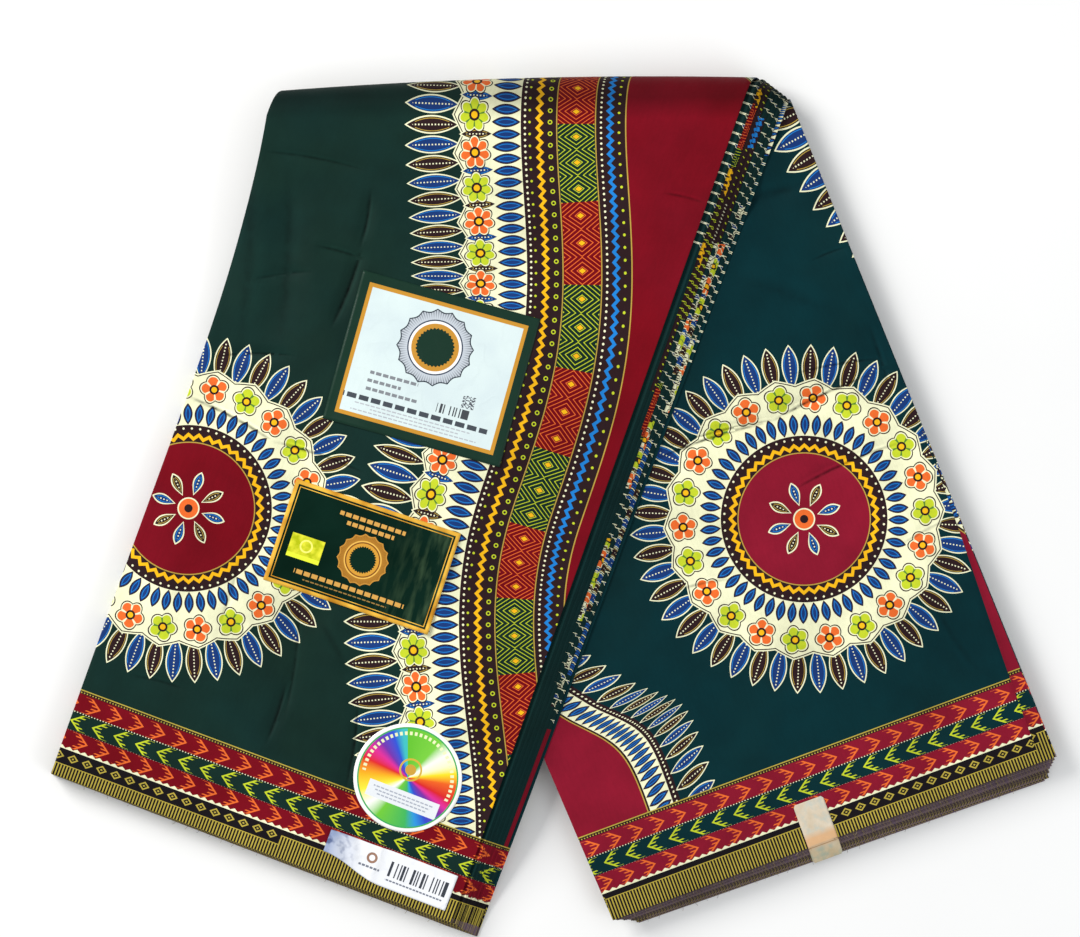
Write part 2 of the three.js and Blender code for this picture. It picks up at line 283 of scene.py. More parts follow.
def garlandCoordinates(along, across):
    # Distance along the garland's middle line and square off it, in metres.
    nearest = across.copy()
    for _ in range(6):
        c = np.interp(nearest, lineAcross, lineAlong)
        s = np.interp(nearest, lineAcross, lineSlope)
        k = np.interp(nearest, lineAcross, lineTurn)
        error = (nearest - across) + (c - along) * s
        slope = np.maximum(1 + s * s + (c - along) * k, 0.35)
        nearest = np.clip(nearest - error / slope, -0.1, 1.3)
    c = np.interp(nearest, lineAcross, lineAlong)
    s = np.interp(nearest, lineAcross, lineSlope)
    off = ((along - c) - (across - nearest) * s) / np.sqrt(1 + s * s)
    bay = sum(w * smooth(1 - np.abs(nearest - mid) / half) for mid, half, w in redBays)
    return np.interp(nearest, lineAcross, lineLength), off, off - bay


def addMap(mesh, name, corners):
    uv = mesh.uv_layers.new(name=name)
    uv.data.foreach_set("uv", corners.astype(np.float32).ravel())


def addVectors(mesh, name, domain, values):
    layer = mesh.attributes.new(name, "FLOAT_VECTOR", domain)
    layer.data.foreach_set("vector", np.asarray(values, np.float32).ravel())


def addNumbers(mesh, name, domain, values):
    layer = mesh.attributes.new(name, "FLOAT", domain)
    layer.data.foreach_set("value", values.astype(np.float32))


def addObject(name, data):
    obj = bpy.data.objects.new(name, data)
    bpy.context.scene.collection.objects.link(obj)
    return obj


def gridFaces(at):
    # The faces of a grid of points seen from above and from below, and the ring of points round it.
    a, b, c, d = at[:-1, :-1], at[:-1, 1:], at[1:, 1:], at[1:, :-1]
    ring = np.concatenate([at[0, :-1], at[:-1, -1], at[-1, :0:-1], at[:0:-1, 0]])
    return np.stack([a, b, c, d], -1).reshape(-1, 4), np.stack([a, d, c, b], -1).reshape(-1, 4), ring


def sideFaces(upper, lower):
    return np.stack([upper, lower, np.roll(lower, -1), np.roll(upper, -1)], -1)


def intoBox(place, box):
    # Fits places from 0 to 1 into a box of the bake's map, given as (left, low, right, high).
    low, high = np.array(box[:2]), np.array(box[2:])
    return low + place * (high - low)


def boxCorners(left, right, first, last):
    left, right, first, last = np.broadcast_arrays(left, right, first, last)
    corners = [(left, first), (left, last), (right, last), (right, first)]
    return np.stack([np.stack(corner, -1) for corner in corners], 1)


def meshOf(name, verts, faces):
    mesh = bpy.data.meshes.new(name)
    mesh.vertices.add(len(verts))
    mesh.vertices.foreach_set("co", verts.astype(np.float32).ravel())
    mesh.loops.add(faces.size)
    mesh.loops.foreach_set("vertex_index", faces.astype(np.int32).ravel())
    mesh.polygons.add(len(faces))
    mesh.polygons.foreach_set("loop_start", np.arange(0, faces.size, 4, dtype=np.int32))
    mesh.update(calc_edges=True)
    mesh.validate()
    return mesh


def layPrint(mesh, corners, edgeCorners):
    # Writes the cloth's own coordinates, and those of the garland and the nearest rosette, on each corner.
    # A corner with edge coordinates, on the stack's layered edge, takes its place on the garland from them.
    middle = corners.mean(axis=1)
    repeat = cloth["repeat"]
    centreLine = np.interp(middle[:, 1], lineAcross, lineAlong)
    turn = np.floor((middle[:, 0] - centreLine) / repeat + 0.4)
    g, n, m = garlandCoordinates(corners[..., 0] - column(turn * repeat), corners[..., 1])
    best = np.full(len(middle), 1e9)
    delta = np.zeros(corners.shape)
    for x, y in rosettes:
        shift = np.round((middle[:, 0] - x) / repeat) * repeat
        d = np.hypot(middle[:, 0] - shift - x, middle[:, 1] - y)
        closer = d < best
        best = np.where(closer, d, best)
        delta[closer, :, 0] = corners[closer, :, 0] - shift[closer, None] - x
        delta[closer, :, 1] = corners[closer, :, 1] - y
    onEdge = ~np.isnan(edgeCorners[..., 0])
    g[onEdge], n[onEdge], m[onEdge] = edgeCorners[onEdge, 0], edgeCorners[onEdge, 1], edgeCorners[onEdge, 1]
    delta[onEdge] = 1.0
    fromHem = np.minimum(corners[..., 1], cloth["width"] - corners[..., 1])
    addMap(mesh, "cloth", corners)
    addVectors(mesh, "garland", "CORNER", np.stack([g, n, m], -1))
    addVectors(mesh, "rosette", "CORNER", np.concatenate([delta, column(fromHem)], -1))


def rowsOf(front, turned, back):
    # How finely the lattice is stepped on the front leg, round the bend and on the back leg.
    return np.concatenate([np.linspace(0, foldRow, front + 1),
                           np.linspace(foldRow, turnedRow, turned + 1)[1:],
                           np.linspace(turnedRow, backHemRow, back + 1)[1:]])


def edgePrint(strip, t):
    # The folded edges show the print end on, so along the stack it changes in short runs of close dashes.
    middle = t.mean(axis=1)
    off = np.full(t.shape, np.nan)
    start = -1.0
    for end, first, last in strip["runs"]:
        here = (middle >= start) & (middle < end)
        off[here] = mix(first, last, np.clip((t[here] - start) / (end - max(start, 0.0)), 0, 1))
        start = end
    place = np.where(np.isnan(off), np.nan, t * hidden["edgeFineness"] + strip["start"])
    return np.stack([place, (off + strip["lean"]) / 1000], -1)


def besideStep(level, rim, row, depth, tuck, rimColumns):
    # The last columns are a wedge of the lap below, a small step down from this one.
    fromRow = tuck["fromRow"]
    wedge = tuck["wide"] * smooth((row - fromRow) / (backHemRow - fromRow)) + 0.004
    middle = 1 - 2 / rimColumns
    beside = np.where(rim < 0.999, 1 - wedge * 0.94, 1.0)
    beside = np.where(rim <= middle, rim / middle * (1 - wedge), beside)
    drop = tuck["drop"] * (rim > middle + 0.01) * smooth((row - fromRow) * 4) * level["outside"]
    return beside, depth - drop


def levelPoints(level, across, row, tuck, rimColumns):
    # The points of one level of a slab, for columns from 0 to 1 and the lattice's rows.
    rim = np.where(across > rimStart, (across - rimStart) / rimWide, 0.0)
    share = mix(-level["left"] / cloth["lapWidth"], 1.0, across / rimStart)
    share = np.where(across > rimStart, 1.0, share)
    depth = level["depth"]
    if tuck:
        rim, depth = besideStep(level, rim, row, depth, tuck, rimColumns)
    extra = rim * (level["steps"] / hemRows + level["right"] / cloth["fanWidth"])
    first = -level["frontSteps"] - hemRows * level["hem"] / cloth["frontHemStep"]
    last = backHemRow + hemRows - level["backSteps"] + hemRows * level["hem"] / cloth["backHemStep"]
    atFront = first + (frontReach - first) * row / frontReach
    atBack = backReach + (last - backReach) * (row - backReach) / (backHemRow - backReach)
    drawn = np.where(row < frontReach, atFront, np.where(row > backReach, atBack, row))
    return lapPoint(share, extra, drawn, depth)


def bakeMap(nc, nr, layers, boxes):
    # The bake's own map: the shown side large, the side walls in strips, the hidden side small.
    grid = np.stack(np.meshgrid(np.linspace(0, 1, nc + 1), np.linspace(0, 1, nr + 1)), -1).reshape(-1, 2)
    topFaces, bottomFaces, ring = gridFaces(np.arange(len(grid)).reshape(nr + 1, nc + 1))
    n, strips, gap = len(ring), boxes["strips"], 0.004
    x0, y0, x1, y1 = boxes["walls"]
    per = math.ceil(n / strips)
    strip, place = np.divmod(np.arange(n), per)
    stripHeight = (y1 - y0) / strips
    left = x0 + (x1 - x0) * place / per
    wallHeight = (stripHeight - gap) / layers
    walls = []
    for layer in range(layers):
        top = y0 + stripHeight * strip + gap / 2 + wallHeight * layer
        walls.append(boxCorners(left, left + (x1 - x0) / per, top, top + wallHeight))
    return np.concatenate([intoBox(grid[topFaces], boxes["top"]), intoBox(grid[bottomFaces], boxes["bottom"]),
                           *walls])


def paintSlab(mesh, places, corners, levels, nc, rows, rimColumns, tuck, wornSide):
    # Where each face of a slab takes its print from, how dark and worn it is, and the crease nearest to it.
    nr = len(rows) - 1
    filled, n = nc * nr, 2 * (nc + nr)
    side = np.arange(n)
    crease = creaseCoordinates(places[..., :2] - np.array(cloth["shift"]), corners[..., 1])
    shades, wear = np.ones(len(corners)), np.zeros(len(corners))
    edgeCorners = np.full(corners.shape, np.nan)
    onRight, onLeft = (side >= nc) & (side < nc + nr), side >= 2 * nc + nr
    onFrontHem, onBackHem = side < nc, (side >= nc + nr) & (side < 2 * nc + nr)
    faceRow, faceColumn = np.meshgrid((rows[:-1] + rows[1:]) / 2, np.arange(nc), indexing="ij")
    # The side that faces into the stack shows only as a ledge at the hem and the right edge.
    first = {"top": 0, "bottom": filled}[wornSide]
    wear[first:first + filled] = np.where(faceRow < foldRow, hidden["frontWear"], 1.0).ravel()
    onLedge = (faceRow < hidden["ledgeRow"]) & (faceColumn >= nc - rimColumns)
    ledge = first + np.flatnonzero(onLedge.ravel())
    if "strip" in levels[1]:
        edgeCorners[ledge] = edgePrint(levels[1]["strip"], corners[ledge, :, 1])
    if tuck:  # beside its right edge another lap of the cloth shows
        other = (faceRow > tuck["fromRow"]) & (faceColumn >= nc - 2)
        corners[filled + np.flatnonzero(other.ravel())] += np.array(tuck["shift"])
    for i, (above, level) in enumerate(zip(levels, levels[1:])):
        wall = 2 * filled + i * n + side
        phase = np.where(onLeft, level.get("phaseLeft", 0.0), level.get("phaseHem", 0.0))
        corners[wall, :, 0] += column(phase)
        # A step at a hem shows the selvedge of the lap below, from its own edge inward.
        frontStep = (level["frontSteps"] - above["frontSteps"]) / hemRows * cloth["frontHemStep"]
        backStep = (level["backSteps"] - above["backSteps"]) / hemRows * cloth["backHemStep"]
        for corner in (0, 3):
            corners[wall, corner, 1] += frontStep * onFrontHem + backStep * onBackHem
        # lapShade is each lap's own random tone; rightShade paints the right edge's faces lighter, a painted
        # lightening as if more light fell there.
        shades[wall] = np.where(onRight, level["rightShade"], level["lapShade"])
        # the front hem is less handled
        wear[wall] = level["lapWear"] * np.where(onFrontHem, hidden["frontWear"], 1.0)
        if "strip" in level:
            edgeCorners[wall[onRight]] = edgePrint(level["strip"], corners[wall[onRight], :, 1])
    layPrint(mesh, corners, edgeCorners)
    addVectors(mesh, "crease", "CORNER", crease)
    addNumbers(mesh, "lapShade", "FACE", shades)
    addNumbers(mesh, "lapWear", "FACE", wear)


def slab(name, settings, levels, bakeBoxes, wornSide):
    # A closed slab through the stack: each level is a ring of the lap's outline, and the end ones are filled.
    rows, rimColumns, tuck = rowsOf(*settings["rows"]), settings.get("rimColumns", 2), settings.get("tuck")
    nc, nr = settings["columns"], len(rows) - 1
    flat = np.linspace(0, rimStart, nc - rimColumns + 1)
    cc, rr = np.meshgrid(np.concatenate([flat, np.linspace(rimStart, 1, rimColumns + 1)[1:]]), rows)
    inner = np.zeros(cc.shape)
    inner[1:-1, 1:-1] = settings.get("sink", 0.0)  # a hidden face lies a little deeper than its rim
    points = [levelPoints({**level, "depth": level["depth"] + sunk}, cc, rr, tuck, rimColumns)
              for level, sunk in ((levels[0], inner), (levels[-1], -inner))]
    topFaces, bottomFaces, ring = gridFaces(np.arange(cc.size).reshape(cc.shape))
    filled, count, n = len(topFaces), cc.size, len(ring)
    side = np.arange(n)
    grooves, rings = [np.zeros(2 * count)], [ring]
    for i, level in enumerate(levels[1:-1]):
        points.append(levelPoints(level, cc.ravel()[ring], rr.ravel()[ring], tuck, rimColumns))
        # Each level's groove value darkens it as painted shade between laps, less on the right edge.
        shallow = np.where((side >= nc) & (side <= nc + nr), hidden["rightGroove"], 1.0)
        grooves.append(level.get("groove", 0.0) * shallow)
        rings.append(2 * count + i * n + side)
    rings.append(ring + count)
    verts = np.concatenate([place.reshape(-1, 3) for place, _ in points])
    prints = np.concatenate([place.reshape(-1, 2) for _, place in points])
    walls = [sideFaces(upper, lower) for upper, lower in zip(rings, rings[1:])]
    faces = np.concatenate([topFaces, bottomFaces + count, *walls])
    mesh = meshOf(name, verts, faces)
    mesh.polygons.foreach_set("use_smooth", np.ones(len(faces), bool))
    paintSlab(mesh, verts[faces], prints[faces], levels, nc, rows, rimColumns, tuck, wornSide)
    addNumbers(mesh, "groove", "POINT", np.concatenate(grooves))
    addMap(mesh, "OFBake", bakeMap(nc, nr, len(levels) - 1, bakeBoxes))
    return addObject(name, mesh)


def rimLevels(top, steps, runs=None):
    # A thin lap: flat faces and a half-round edge, whose right side may show runs of other print.
    half = cloth["lapThick"] / 2
    levels = []
    for a in np.linspace(0, math.pi, 7):
        out = half * math.sin(a)
        level = {"depth": top + half - half * math.cos(a), "outside": (1 - math.cos(a)) / 2,
                 "left": out, "right": out, "hem": 0.35 * out,
                 "steps": steps, "frontSteps": steps, "backSteps": steps,
                 "lapShade": 1.0, "rightShade": 1.0, "lapWear": 1.0}
        if runs:
            level["strip"] = {"runs": runs, "start": 0.0, "lean": 0.0}
        levels.append(level)
    return levels


# The thirty thin laps between the top lap and the innermost one.
hidden = {
    "laps": 30, "groups": 6, "columns": 36, "rows": (90, 14, 78), "sink": 0.0015, "first": 0.0013,
    "last": 0.0150, "bulge": 0.00030, "seed": 5, "wander": 0.0007, "leftIn": 0.0003,
    "rightWander": 0.00012, "leastJump": 0.12, "fanFrom": 0.35, "fanOver": 5.3, "stepFrom": 0.6,
    "stepOver": 4.9, "stepInGroup": 0.10, "ledgeRow": 20, "leftPhase": 0.006, "hemPhase": 0.0012,
    "shades": (0.70, 1.23), "rightShade": 1.12, "rightGroove": 0.4, "topWear": 0.16, "frontWear": 0.3,
    "edgeFineness": 1.6, "edgeLean": 0.8, "edgeStart": -0.033, "groupStart": 0.0031, "lapStart": 0.0004,
    "startWander": 0.0002,
}
# What each group of laps shows along the right edge: runs as (where the run ends, in metres from the hem, and
# how far off the garland it takes its print at its two ends, in millimetres).
edgeRuns = [
    [(0.516, -125, -118), (2.0, -96.4, -96.0)],
    [(0.41, -125, -118), (0.47, 55, 55), (0.507, 5.2, 5.2), (0.524, -5, 0), (0.56, 5.2, 5.2), (0.584, -5, 0),
     (0.631, 14, 20), (0.646, -5, 0), (2.0, -9.6, -9.6)],
    [(0.38, -125, -118), (0.42, 12, 20), (0.47, -98.3, -97.6), (0.53, 5.2, 5.2), (0.56, 42, 42),
     (0.60, -9.6, -9.6), (0.626, 45.9, 46.4), (2.0, 55, 55)],
    [(0.19, -125, -118), (0.24, -98.3, -97.8), (0.30, -58, -48), (0.34, -98, -97), (0.39, -55, -45),
     (0.44, -98.2, -97.4), (0.47, -58, -52), (0.53, -66, -60), (0.60, 55, 55), (0.626, 51.0, 50.6),
     (2.0, -98, -97)],
    [(0.17, -125, -118), (0.21, -66, -62), (0.25, -98.3, -97.6), (0.29, -80, -76), (0.33, -98.2, -97),
     (0.38, -26, -24), (0.43, -98.3, -97.6), (0.47, -80, -76), (0.532, -52, -44), (0.59, -98.2, -97.6),
     (2.0, -97.5, -97)],
    [(0.16, 72, 72), (0.20, -98, -97), (0.24, -26, -25), (0.28, -98, -97), (0.34, -80, -77),
     (0.40, -98.3, -97.6), (0.46, -60, -56), (0.53, -98, -96.5), (0.56, -66, -62), (2.0, -98.2, -97.6)],
]
# One thin lap's rounded edge, as (part of its thickness, how far it stands out, how deep in a groove, which
# sets the painted shade there).
lapSection = [(0.06, -0.7, 1.0), (0.3, 0.6, 0.25), (0.7, 0.6, 0.0), (0.94, -0.7, 1.0)]


def hiddenLevels():
    draw = random.Random(hidden["seed"])
    laps, perGroup = hidden["laps"], hidden["laps"] // hidden["groups"]
    thick = (hidden["last"] - hidden["first"]) / laps
    jumps = np.array([hidden["leastJump"] + draw.random() ** 3 for _ in range(laps)])
    # How far each hem stands out, unevenly.
    fans = hidden["fanFrom"] + hidden["fanOver"] * (np.cumsum(jumps) - jumps / 2) / jumps.sum()
    levels = []
    for lap in range(laps):
        group, inGroup = divmod(lap, perGroup)
        steps = hidden["stepFrom"] + hidden["stepOver"] * (group + 0.5) / hidden["groups"]
        steps = steps + hidden["stepInGroup"] * inGroup
        left = draw.uniform(-1, 1) * hidden["wander"] - hidden["leftIn"]
        right = draw.uniform(-1, 1) * hidden["rightWander"]
        own = {"steps": steps, "frontSteps": fans[lap], "backSteps": fans[lap],
               "phaseLeft": draw.uniform(-1, 1) * hidden["leftPhase"],
               "phaseHem": draw.uniform(-1, 1) * hidden["hemPhase"],
               "lapShade": draw.uniform(*hidden["shades"]), "rightShade": hidden["rightShade"],
               "lapWear": mix(hidden["topWear"], 1.0, lap / laps)}
        start = hidden["edgeStart"] + hidden["groupStart"] * group + hidden["lapStart"] * inGroup
        own["strip"] = {"runs": edgeRuns[group], "lean": hidden["edgeLean"] * (inGroup - 2),
                        "start": start + draw.uniform(0, hidden["startWander"])}
        for share, roundness, groove in lapSection:
            bulge = hidden["bulge"] * roundness
            levels.append({"depth": hidden["first"] + thick * (lap + share), "left": left + bulge,
                           "right": right + bulge, "hem": bulge * 0.5, "groove": groove, **own})
    levels[0]["depth"], levels[-1]["depth"] = hidden["first"], hidden["last"]
    return levels


outer = {"top": 0.0, "steps": 0, "columns": 96, "rows": (180, 22, 90)}
innermost = {"top": 0.0153, "steps": 6, "columns": 96, "rows": (90, 14, 180), "rimColumns": 8,
             "runs": [(0.44, -125, -118), (0.60, -98, -97)],
             "tuck": {"fromRow": 25.45, "wide": 0.36, "drop": 0.0007, "shift": (0.285, 0.0045)}}
# Boxes of the bake's map as (left, low, right, high).
shownBox, smallBox = (0.01, 0.01, 0.66, 0.99), (0.86, 0.01, 0.90, 0.99)
thinWalls = {"walls": (0.92, 0.01, 0.99, 0.99), "strips": 2}
hiddenBoxes = {"top": (0.01, 0.955, 0.49, 0.99), "bottom": (0.51, 0.955, 0.99, 0.99),
               "walls": (0.01, 0.01, 0.99, 0.95), "strips": 8}
outerLap = slab("outerLap", outer, rimLevels(outer["top"], outer["steps"]),
                {"top": shownBox, "bottom": smallBox, **thinWalls}, wornSide="bottom")
innerLap = slab("innerLap", innermost, rimLevels(innermost["top"], innermost["steps"], innermost["runs"]),
                {"top": smallBox, "bottom": shownBox, **thinWalls}, wornSide="top")
lapEdges = slab("lapEdges", hidden, hiddenLevels(), hiddenBoxes, wornSide="top")
print("cloth laps built", *(len(obj.data.polygons) for obj in (outerLap, innerLap, lapEdges)))


def linear(value):
    c = value / 255
    return c / 12.92 if c <= 0.04045 else ((c + 0.055) / 1.055) ** 2.4


def srgb(r, g, b):
    return linear(r), linear(g), linear(b), 1.0


dyes = {
    "green": srgb(17, 41, 34), "greenBlue": srgb(2, 42, 47), "wine": srgb(110, 4, 18),
    "winePink": srgb(130, 20, 42), "brown": srgb(42, 25, 28), "cream": srgb(232, 232, 194),
    "yellow": srgb(236, 178, 24), "lime": srgb(188, 202, 44), "blue": srgb(30, 122, 200),
    "navy": srgb(24, 54, 112), "orange": srgb(226, 104, 44), "gold": srgb(178, 150, 66),
    "black": srgb(22, 18, 22), "leafGreen": srgb(86, 130, 50), "khaki": srgb(178, 160, 66),
}


class Value:
    # A node's socket that can be reckoned with: each operator adds a math node.
    def __init__(self, maker, socket):
        self.maker, self.socket = maker, socket

    def __add__(self, other):
        return self.maker.math("ADD", self, other)

    def __radd__(self, other):
        return self.maker.math("ADD", other, self)

    def __sub__(self, other):
        return self.maker.math("SUBTRACT", self, other)

    def __rsub__(self, other):
        return self.maker.math("SUBTRACT", other, self)

    def __mul__(self, other):
        return self.maker.math("MULTIPLY", self, other)

    def __truediv__(self, other):
        return self.maker.math("DIVIDE", self, other)

    def __lt__(self, other):
        return self.maker.math("LESS_THAN", self, other)

    def __gt__(self, other):
        return self.maker.math("GREATER_THAN", self, other)

    def __abs__(self):
        return self.maker.math("ABSOLUTE", self)


class Maker:
    # Adds nodes to a tree one after another, so a long drawing stays a plain list of steps.
    def __init__(self, tree):
        self.tree = tree

    def node(self, kind, **settings):
        made = self.tree.nodes.new(kind)
        for key, value in settings.items():
            setattr(made, key, value)
        return made

    def put(self, socket, value):
        if isinstance(value, Value):
            value = value.socket
        if isinstance(value, bpy.types.NodeSocket):
            self.tree.links.new(value, socket)
        elif value is not None:
            socket.default_value = value

    def fill(self, node, values):
        for name, value in values.items():
            self.put(node.inputs[name], value)
        return node

    def out(self, node, which=0):
        return Value(self, node.outputs[which])

    def math(self, operation, a, b=None, c=None):
        return self.out(self.fill(self.node("ShaderNodeMath", operation=operation), {0: a, 1: b, 2: c}))

    def band(self, x, low, high):
        return self.math("COMPARE", x, (low + high) / 2, abs(high - low) / 2)

    def cell(self, x, period, start=0.0):
        # Distance from the middle of each repeat, from minus to plus half the period.
        return self.math("WRAP", x + start, period / 2, -period / 2)

    def parity(self, x, period, start=0.0):
        return self.math("WRAP", x + start, 2 * period, 0.0) < period

    def hypot(self, x, y):
        return self.math("SQRT", x * x + y * y)

    def within(self, x, y, centre, half):
        # 1 inside a box, given by its centre and half its two sides.
        return (abs(x - centre[0]) < half[0]) * (abs(y - centre[1]) < half[1])

    def color(self, mask, under, over):
        made = self.node("ShaderNodeMix", data_type="RGBA", clamp_factor=True)
        return self.out(self.fill(made, {0: mask, 6: under, 7: over}), 2)

    def darkened(self, paint, shade):
        gray = self.fill(self.node("ShaderNodeCombineColor"), {0: shade, 1: shade, 2: shade})
        made = self.node("ShaderNodeMix", data_type="RGBA", blend_type="MULTIPLY")
        return self.out(self.fill(made, {0: 1.0, 6: paint, 7: gray.outputs[0]}), 2)

    def split(self, vector):
        made = self.fill(self.node("ShaderNodeSeparateXYZ"), {0: vector})
        return [self.out(made, i) for i in range(3)]

    def stretched(self, vector, factors):
        made = self.node("ShaderNodeVectorMath", operation="MULTIPLY")
        return self.out(self.fill(made, {0: vector, 1: factors}))

    def noise(self, vector, scale, detail=2.0):
        made = self.node("ShaderNodeTexNoise")
        values = {"Vector": vector, "Scale": scale, "Detail": detail, "Roughness": 0.5}
        return self.out(self.fill(made, values))

    def ramp(self, x, low, high, outLow=0.0, outHigh=1.0):
        made = self.node("ShaderNodeMapRange", clamp=True)
        return self.out(self.fill(made, {0: x, 1: low, 2: high, 3: outLow, 4: outHigh}))

    def attribute(self, name, which):
        return self.out(self.node("ShaderNodeAttribute", attribute_name=name), which)

    def map(self, name):
        return self.out(self.node("ShaderNodeUVMap", uv_map=name))

    def group(self, tree, *values):
        return self.fill(self.node("ShaderNodeGroup", node_tree=tree), dict(enumerate(values)))

    def bump(self, height, strength, distance, normal=None):
        values = {"Strength": strength, "Distance": distance, "Height": height, "Normal": normal}
        return self.out(self.fill(self.node("ShaderNodeBump"), values))


def newGroup(name, kind, inputs, outputs):
    # A group with its sockets; inputs and outputs name each socket's type after its label.
    tree = bpy.data.node_groups.new(name, kind + "NodeTree")
    for way, sockets in (("INPUT", inputs), ("OUTPUT", outputs)):
        for label, socketType in sockets.items():
            tree.interface.new_socket(label, in_out=way, socket_type="NodeSocket" + socketType)
    k = Maker(tree)
    return k, k.node("NodeGroupInput"), k.node("NodeGroupOutput")


def buildPrint():
    # The wax print, in millimetres: ground, red bay, garland, rosette and border, painted one over the other.
    k, given, result = newGroup("waxPrint", "Shader",
                                {"Cloth": "Vector", "Garland": "Vector", "Rosette": "Vector",
                                 "Wash": "Float"}, {"Color": "Color"})
    milli = 1000.0
    s = k.split(k.out(given, 0))[0] * milli
    wash = k.out(given, 3) + k.ramp(k.noise(k.out(given, 0), 9.0, 3.0), 0.3, 0.7, -0.18, 0.18)
    ground = k.color(wash, dyes["green"], dyes["greenBlue"])
    wineGround = k.color(wash, dyes["wine"], dyes["winePink"])
    inks = {**dyes, "ground": ground, "wineGround": wineGround}
    col = ground
    g, n, m = [value * milli for value in k.split(k.out(given, 1))]

    def paint(mask, name):
        nonlocal col
        col = k.color(mask, col, inks[name])

    def paintBands(x, bands):
        for low, high, name in bands:
            paint(k.band(x, low, high), name)

    def paintDiscs(r, discs):
        for radius, name in discs:
            paint(r < radius, name)

    def lens(x, y, wide, long):
        # Below 0 inside a pointed leaf; its value grows with the distance outside, in millimetres.
        ratio = y / long
        return abs(x) - (1.0 - ratio * ratio) * wide

    def leaves(x, off, period, middle, wide, long, start=0.0):
        # A row of leaves with a resist outline, blue and brown by turns, each with a pale vein of dots.
        cx = k.cell(x, period, start)
        cy = off - middle
        odd = k.parity(x, period, start + period / 2)
        f = lens(cx, cy, wide, long)
        paint(f < 0.0, "cream")
        for turn, body, vein in ((odd, "navy", "blue"), (1.0 - odd, "brown", "gold")):
            paint((f < -0.9) * turn, body)
            paint(k.band(f, -2.0, -1.55) * turn * (abs(cy) < long * 0.62), vein)
        paint((abs(k.cell(cy, 2.4)) < 0.5) * (abs(cx) < 0.45) * (f < -2.6), "cream")

    def daisies(x, off, period, middle, radius, petals, start=0.0):
        cx = k.cell(x, period, start)
        cy = off - middle
        odd = k.parity(x, period, start + period / 2)
        r = k.hypot(cx, cy)
        wave = abs(k.math("COSINE", k.math("ARCTAN2", cy, cx) * (petals / 2)))
        f = r - (radius * 0.74 + wave * (radius * 0.26))
        veins = (wave < 0.3) * ((f < -1.0) * (r > radius * 0.3))
        paintDiscs(f, [(0.9, "brown"), (0.0, "cream")])
        for turn, petal, vein in ((odd, "orange", "cream"), (1.0 - odd, "lime", "leafGreen")):
            paint((f < -0.9) * turn, petal)
            paint(veins * turn, vein)
        paintDiscs(r, [(radius * 0.34, "brown"), (radius * 0.2, "yellow")])

    def beads(x, off, period, middle, wide, long):
        f = lens(k.cell(x, period), off - middle, wide, long)
        paintDiscs(f, [(0.2, "brown"), (-0.7, "navy")])
        paint(k.band(f, -2.0, -1.5), "blue")

    def dots(x, off, period, middle, radius, name):
        paint(k.hypot(k.cell(x, period), off - middle) < radius, name)

    def rickrack(x, off, period, middle, swing, half, name):
        path = k.math("PINGPONG", x, period / 2) * (swing * 4 / period) + (middle - swing)
        paint(abs(off - path) < half, name)

    # red bay
    paint((n > 58.0) * (m < 97.0), "wineGround")

    # garland, from its leaves to its far edge
    leaves(g, n, 12.2, -80.0, 5.6, 20.0)
    scalloped = n - abs(k.cell(g, 24.4, 6.0)) * 0.55
    paintBands(scalloped, [(-65.5, -34.0, "cream"), (-64.4, -34.0, "brown"), (-63.6, -34.0, "cream")])
    leaves(g, n, 24.4, -48.0, 4.0, 12.5, 18.2)
    daisies(g, n, 24.4, -49.5, 11.2, 7, 6.0)
    paintBands(n, [(-37.0, -14.5, "cream"), (-16.0, 60.0, "brown")])
    beads(g, n, 8.4, -26.5, 3.5, 10.2)
    dots(g, n, 4.2, -13.0, 0.85, "cream")
    dots(g, n, 8.4, -9.6, 0.9, "lime")
    rickrack(g, n, 7.0, -2.5, 1.6, 1.5, "yellow")
    dots(g, n, 8.4, 5.2, 1.7, "lime")
    dots(g, n, 8.4, 5.2, 0.9, "brown")
    paint(k.band(n, 9.6, 38.4), "gold")
    block = k.parity(g, 58.0)
    lozenge = abs(k.cell(g, 19.33, 9.67)) * (1.0 / 9.67) + abs(n - 24.0) * (1.0 / 13.0)
    ringLine = k.band(k.math("FRACT", lozenge * 3.0), 0.8, 1.0) * k.band(n, 10.8, 37.2)
    for turn, field, line in ((block, "wine", "orange"), (1.0 - block, "green", "lime")):
        paint(k.band(n, 10.4, 37.6) * turn, field)
        paint(ringLine * turn, line)
    paint(lozenge < 0.2, "yellow")
    dots(g, n, 4.2, 42.0, 0.85, "cream")
    rickrack(g, n, 7.0, 48.5, 1.6, 1.5, "blue")
    dots(g, n, 8.4, 55.0, 1.0, "lime")
    paint(k.band(n, 59.4, 60.3), "gold")

    # far side of the bay: beads and leaves again
    paintBands(m, [(97.0, 124.0, "brown"), (96.6, 97.5, "gold"), (99.0, 118.0, "cream")])
    beads(g, m, 7.0, 108.5, 2.9, 9.0)
    dots(g, m, 3.5, 121.0, 0.8, "cream")
    leaves(g, m, 13.0, 139.0, 5.0, 16.0)

    # rosette: rings of motifs, each given its radius and how many go round
    dx, dy, h = [value * milli for value in k.split(k.out(given, 2))]
    r = k.hypot(dx, dy)
    angle = k.math("ARCTAN2", dy, dx)

    def ringOf(motif, radius, count, *shape, middle=None):
        motif(angle * radius, r, math.tau * radius / count, radius if middle is None else middle, *shape)

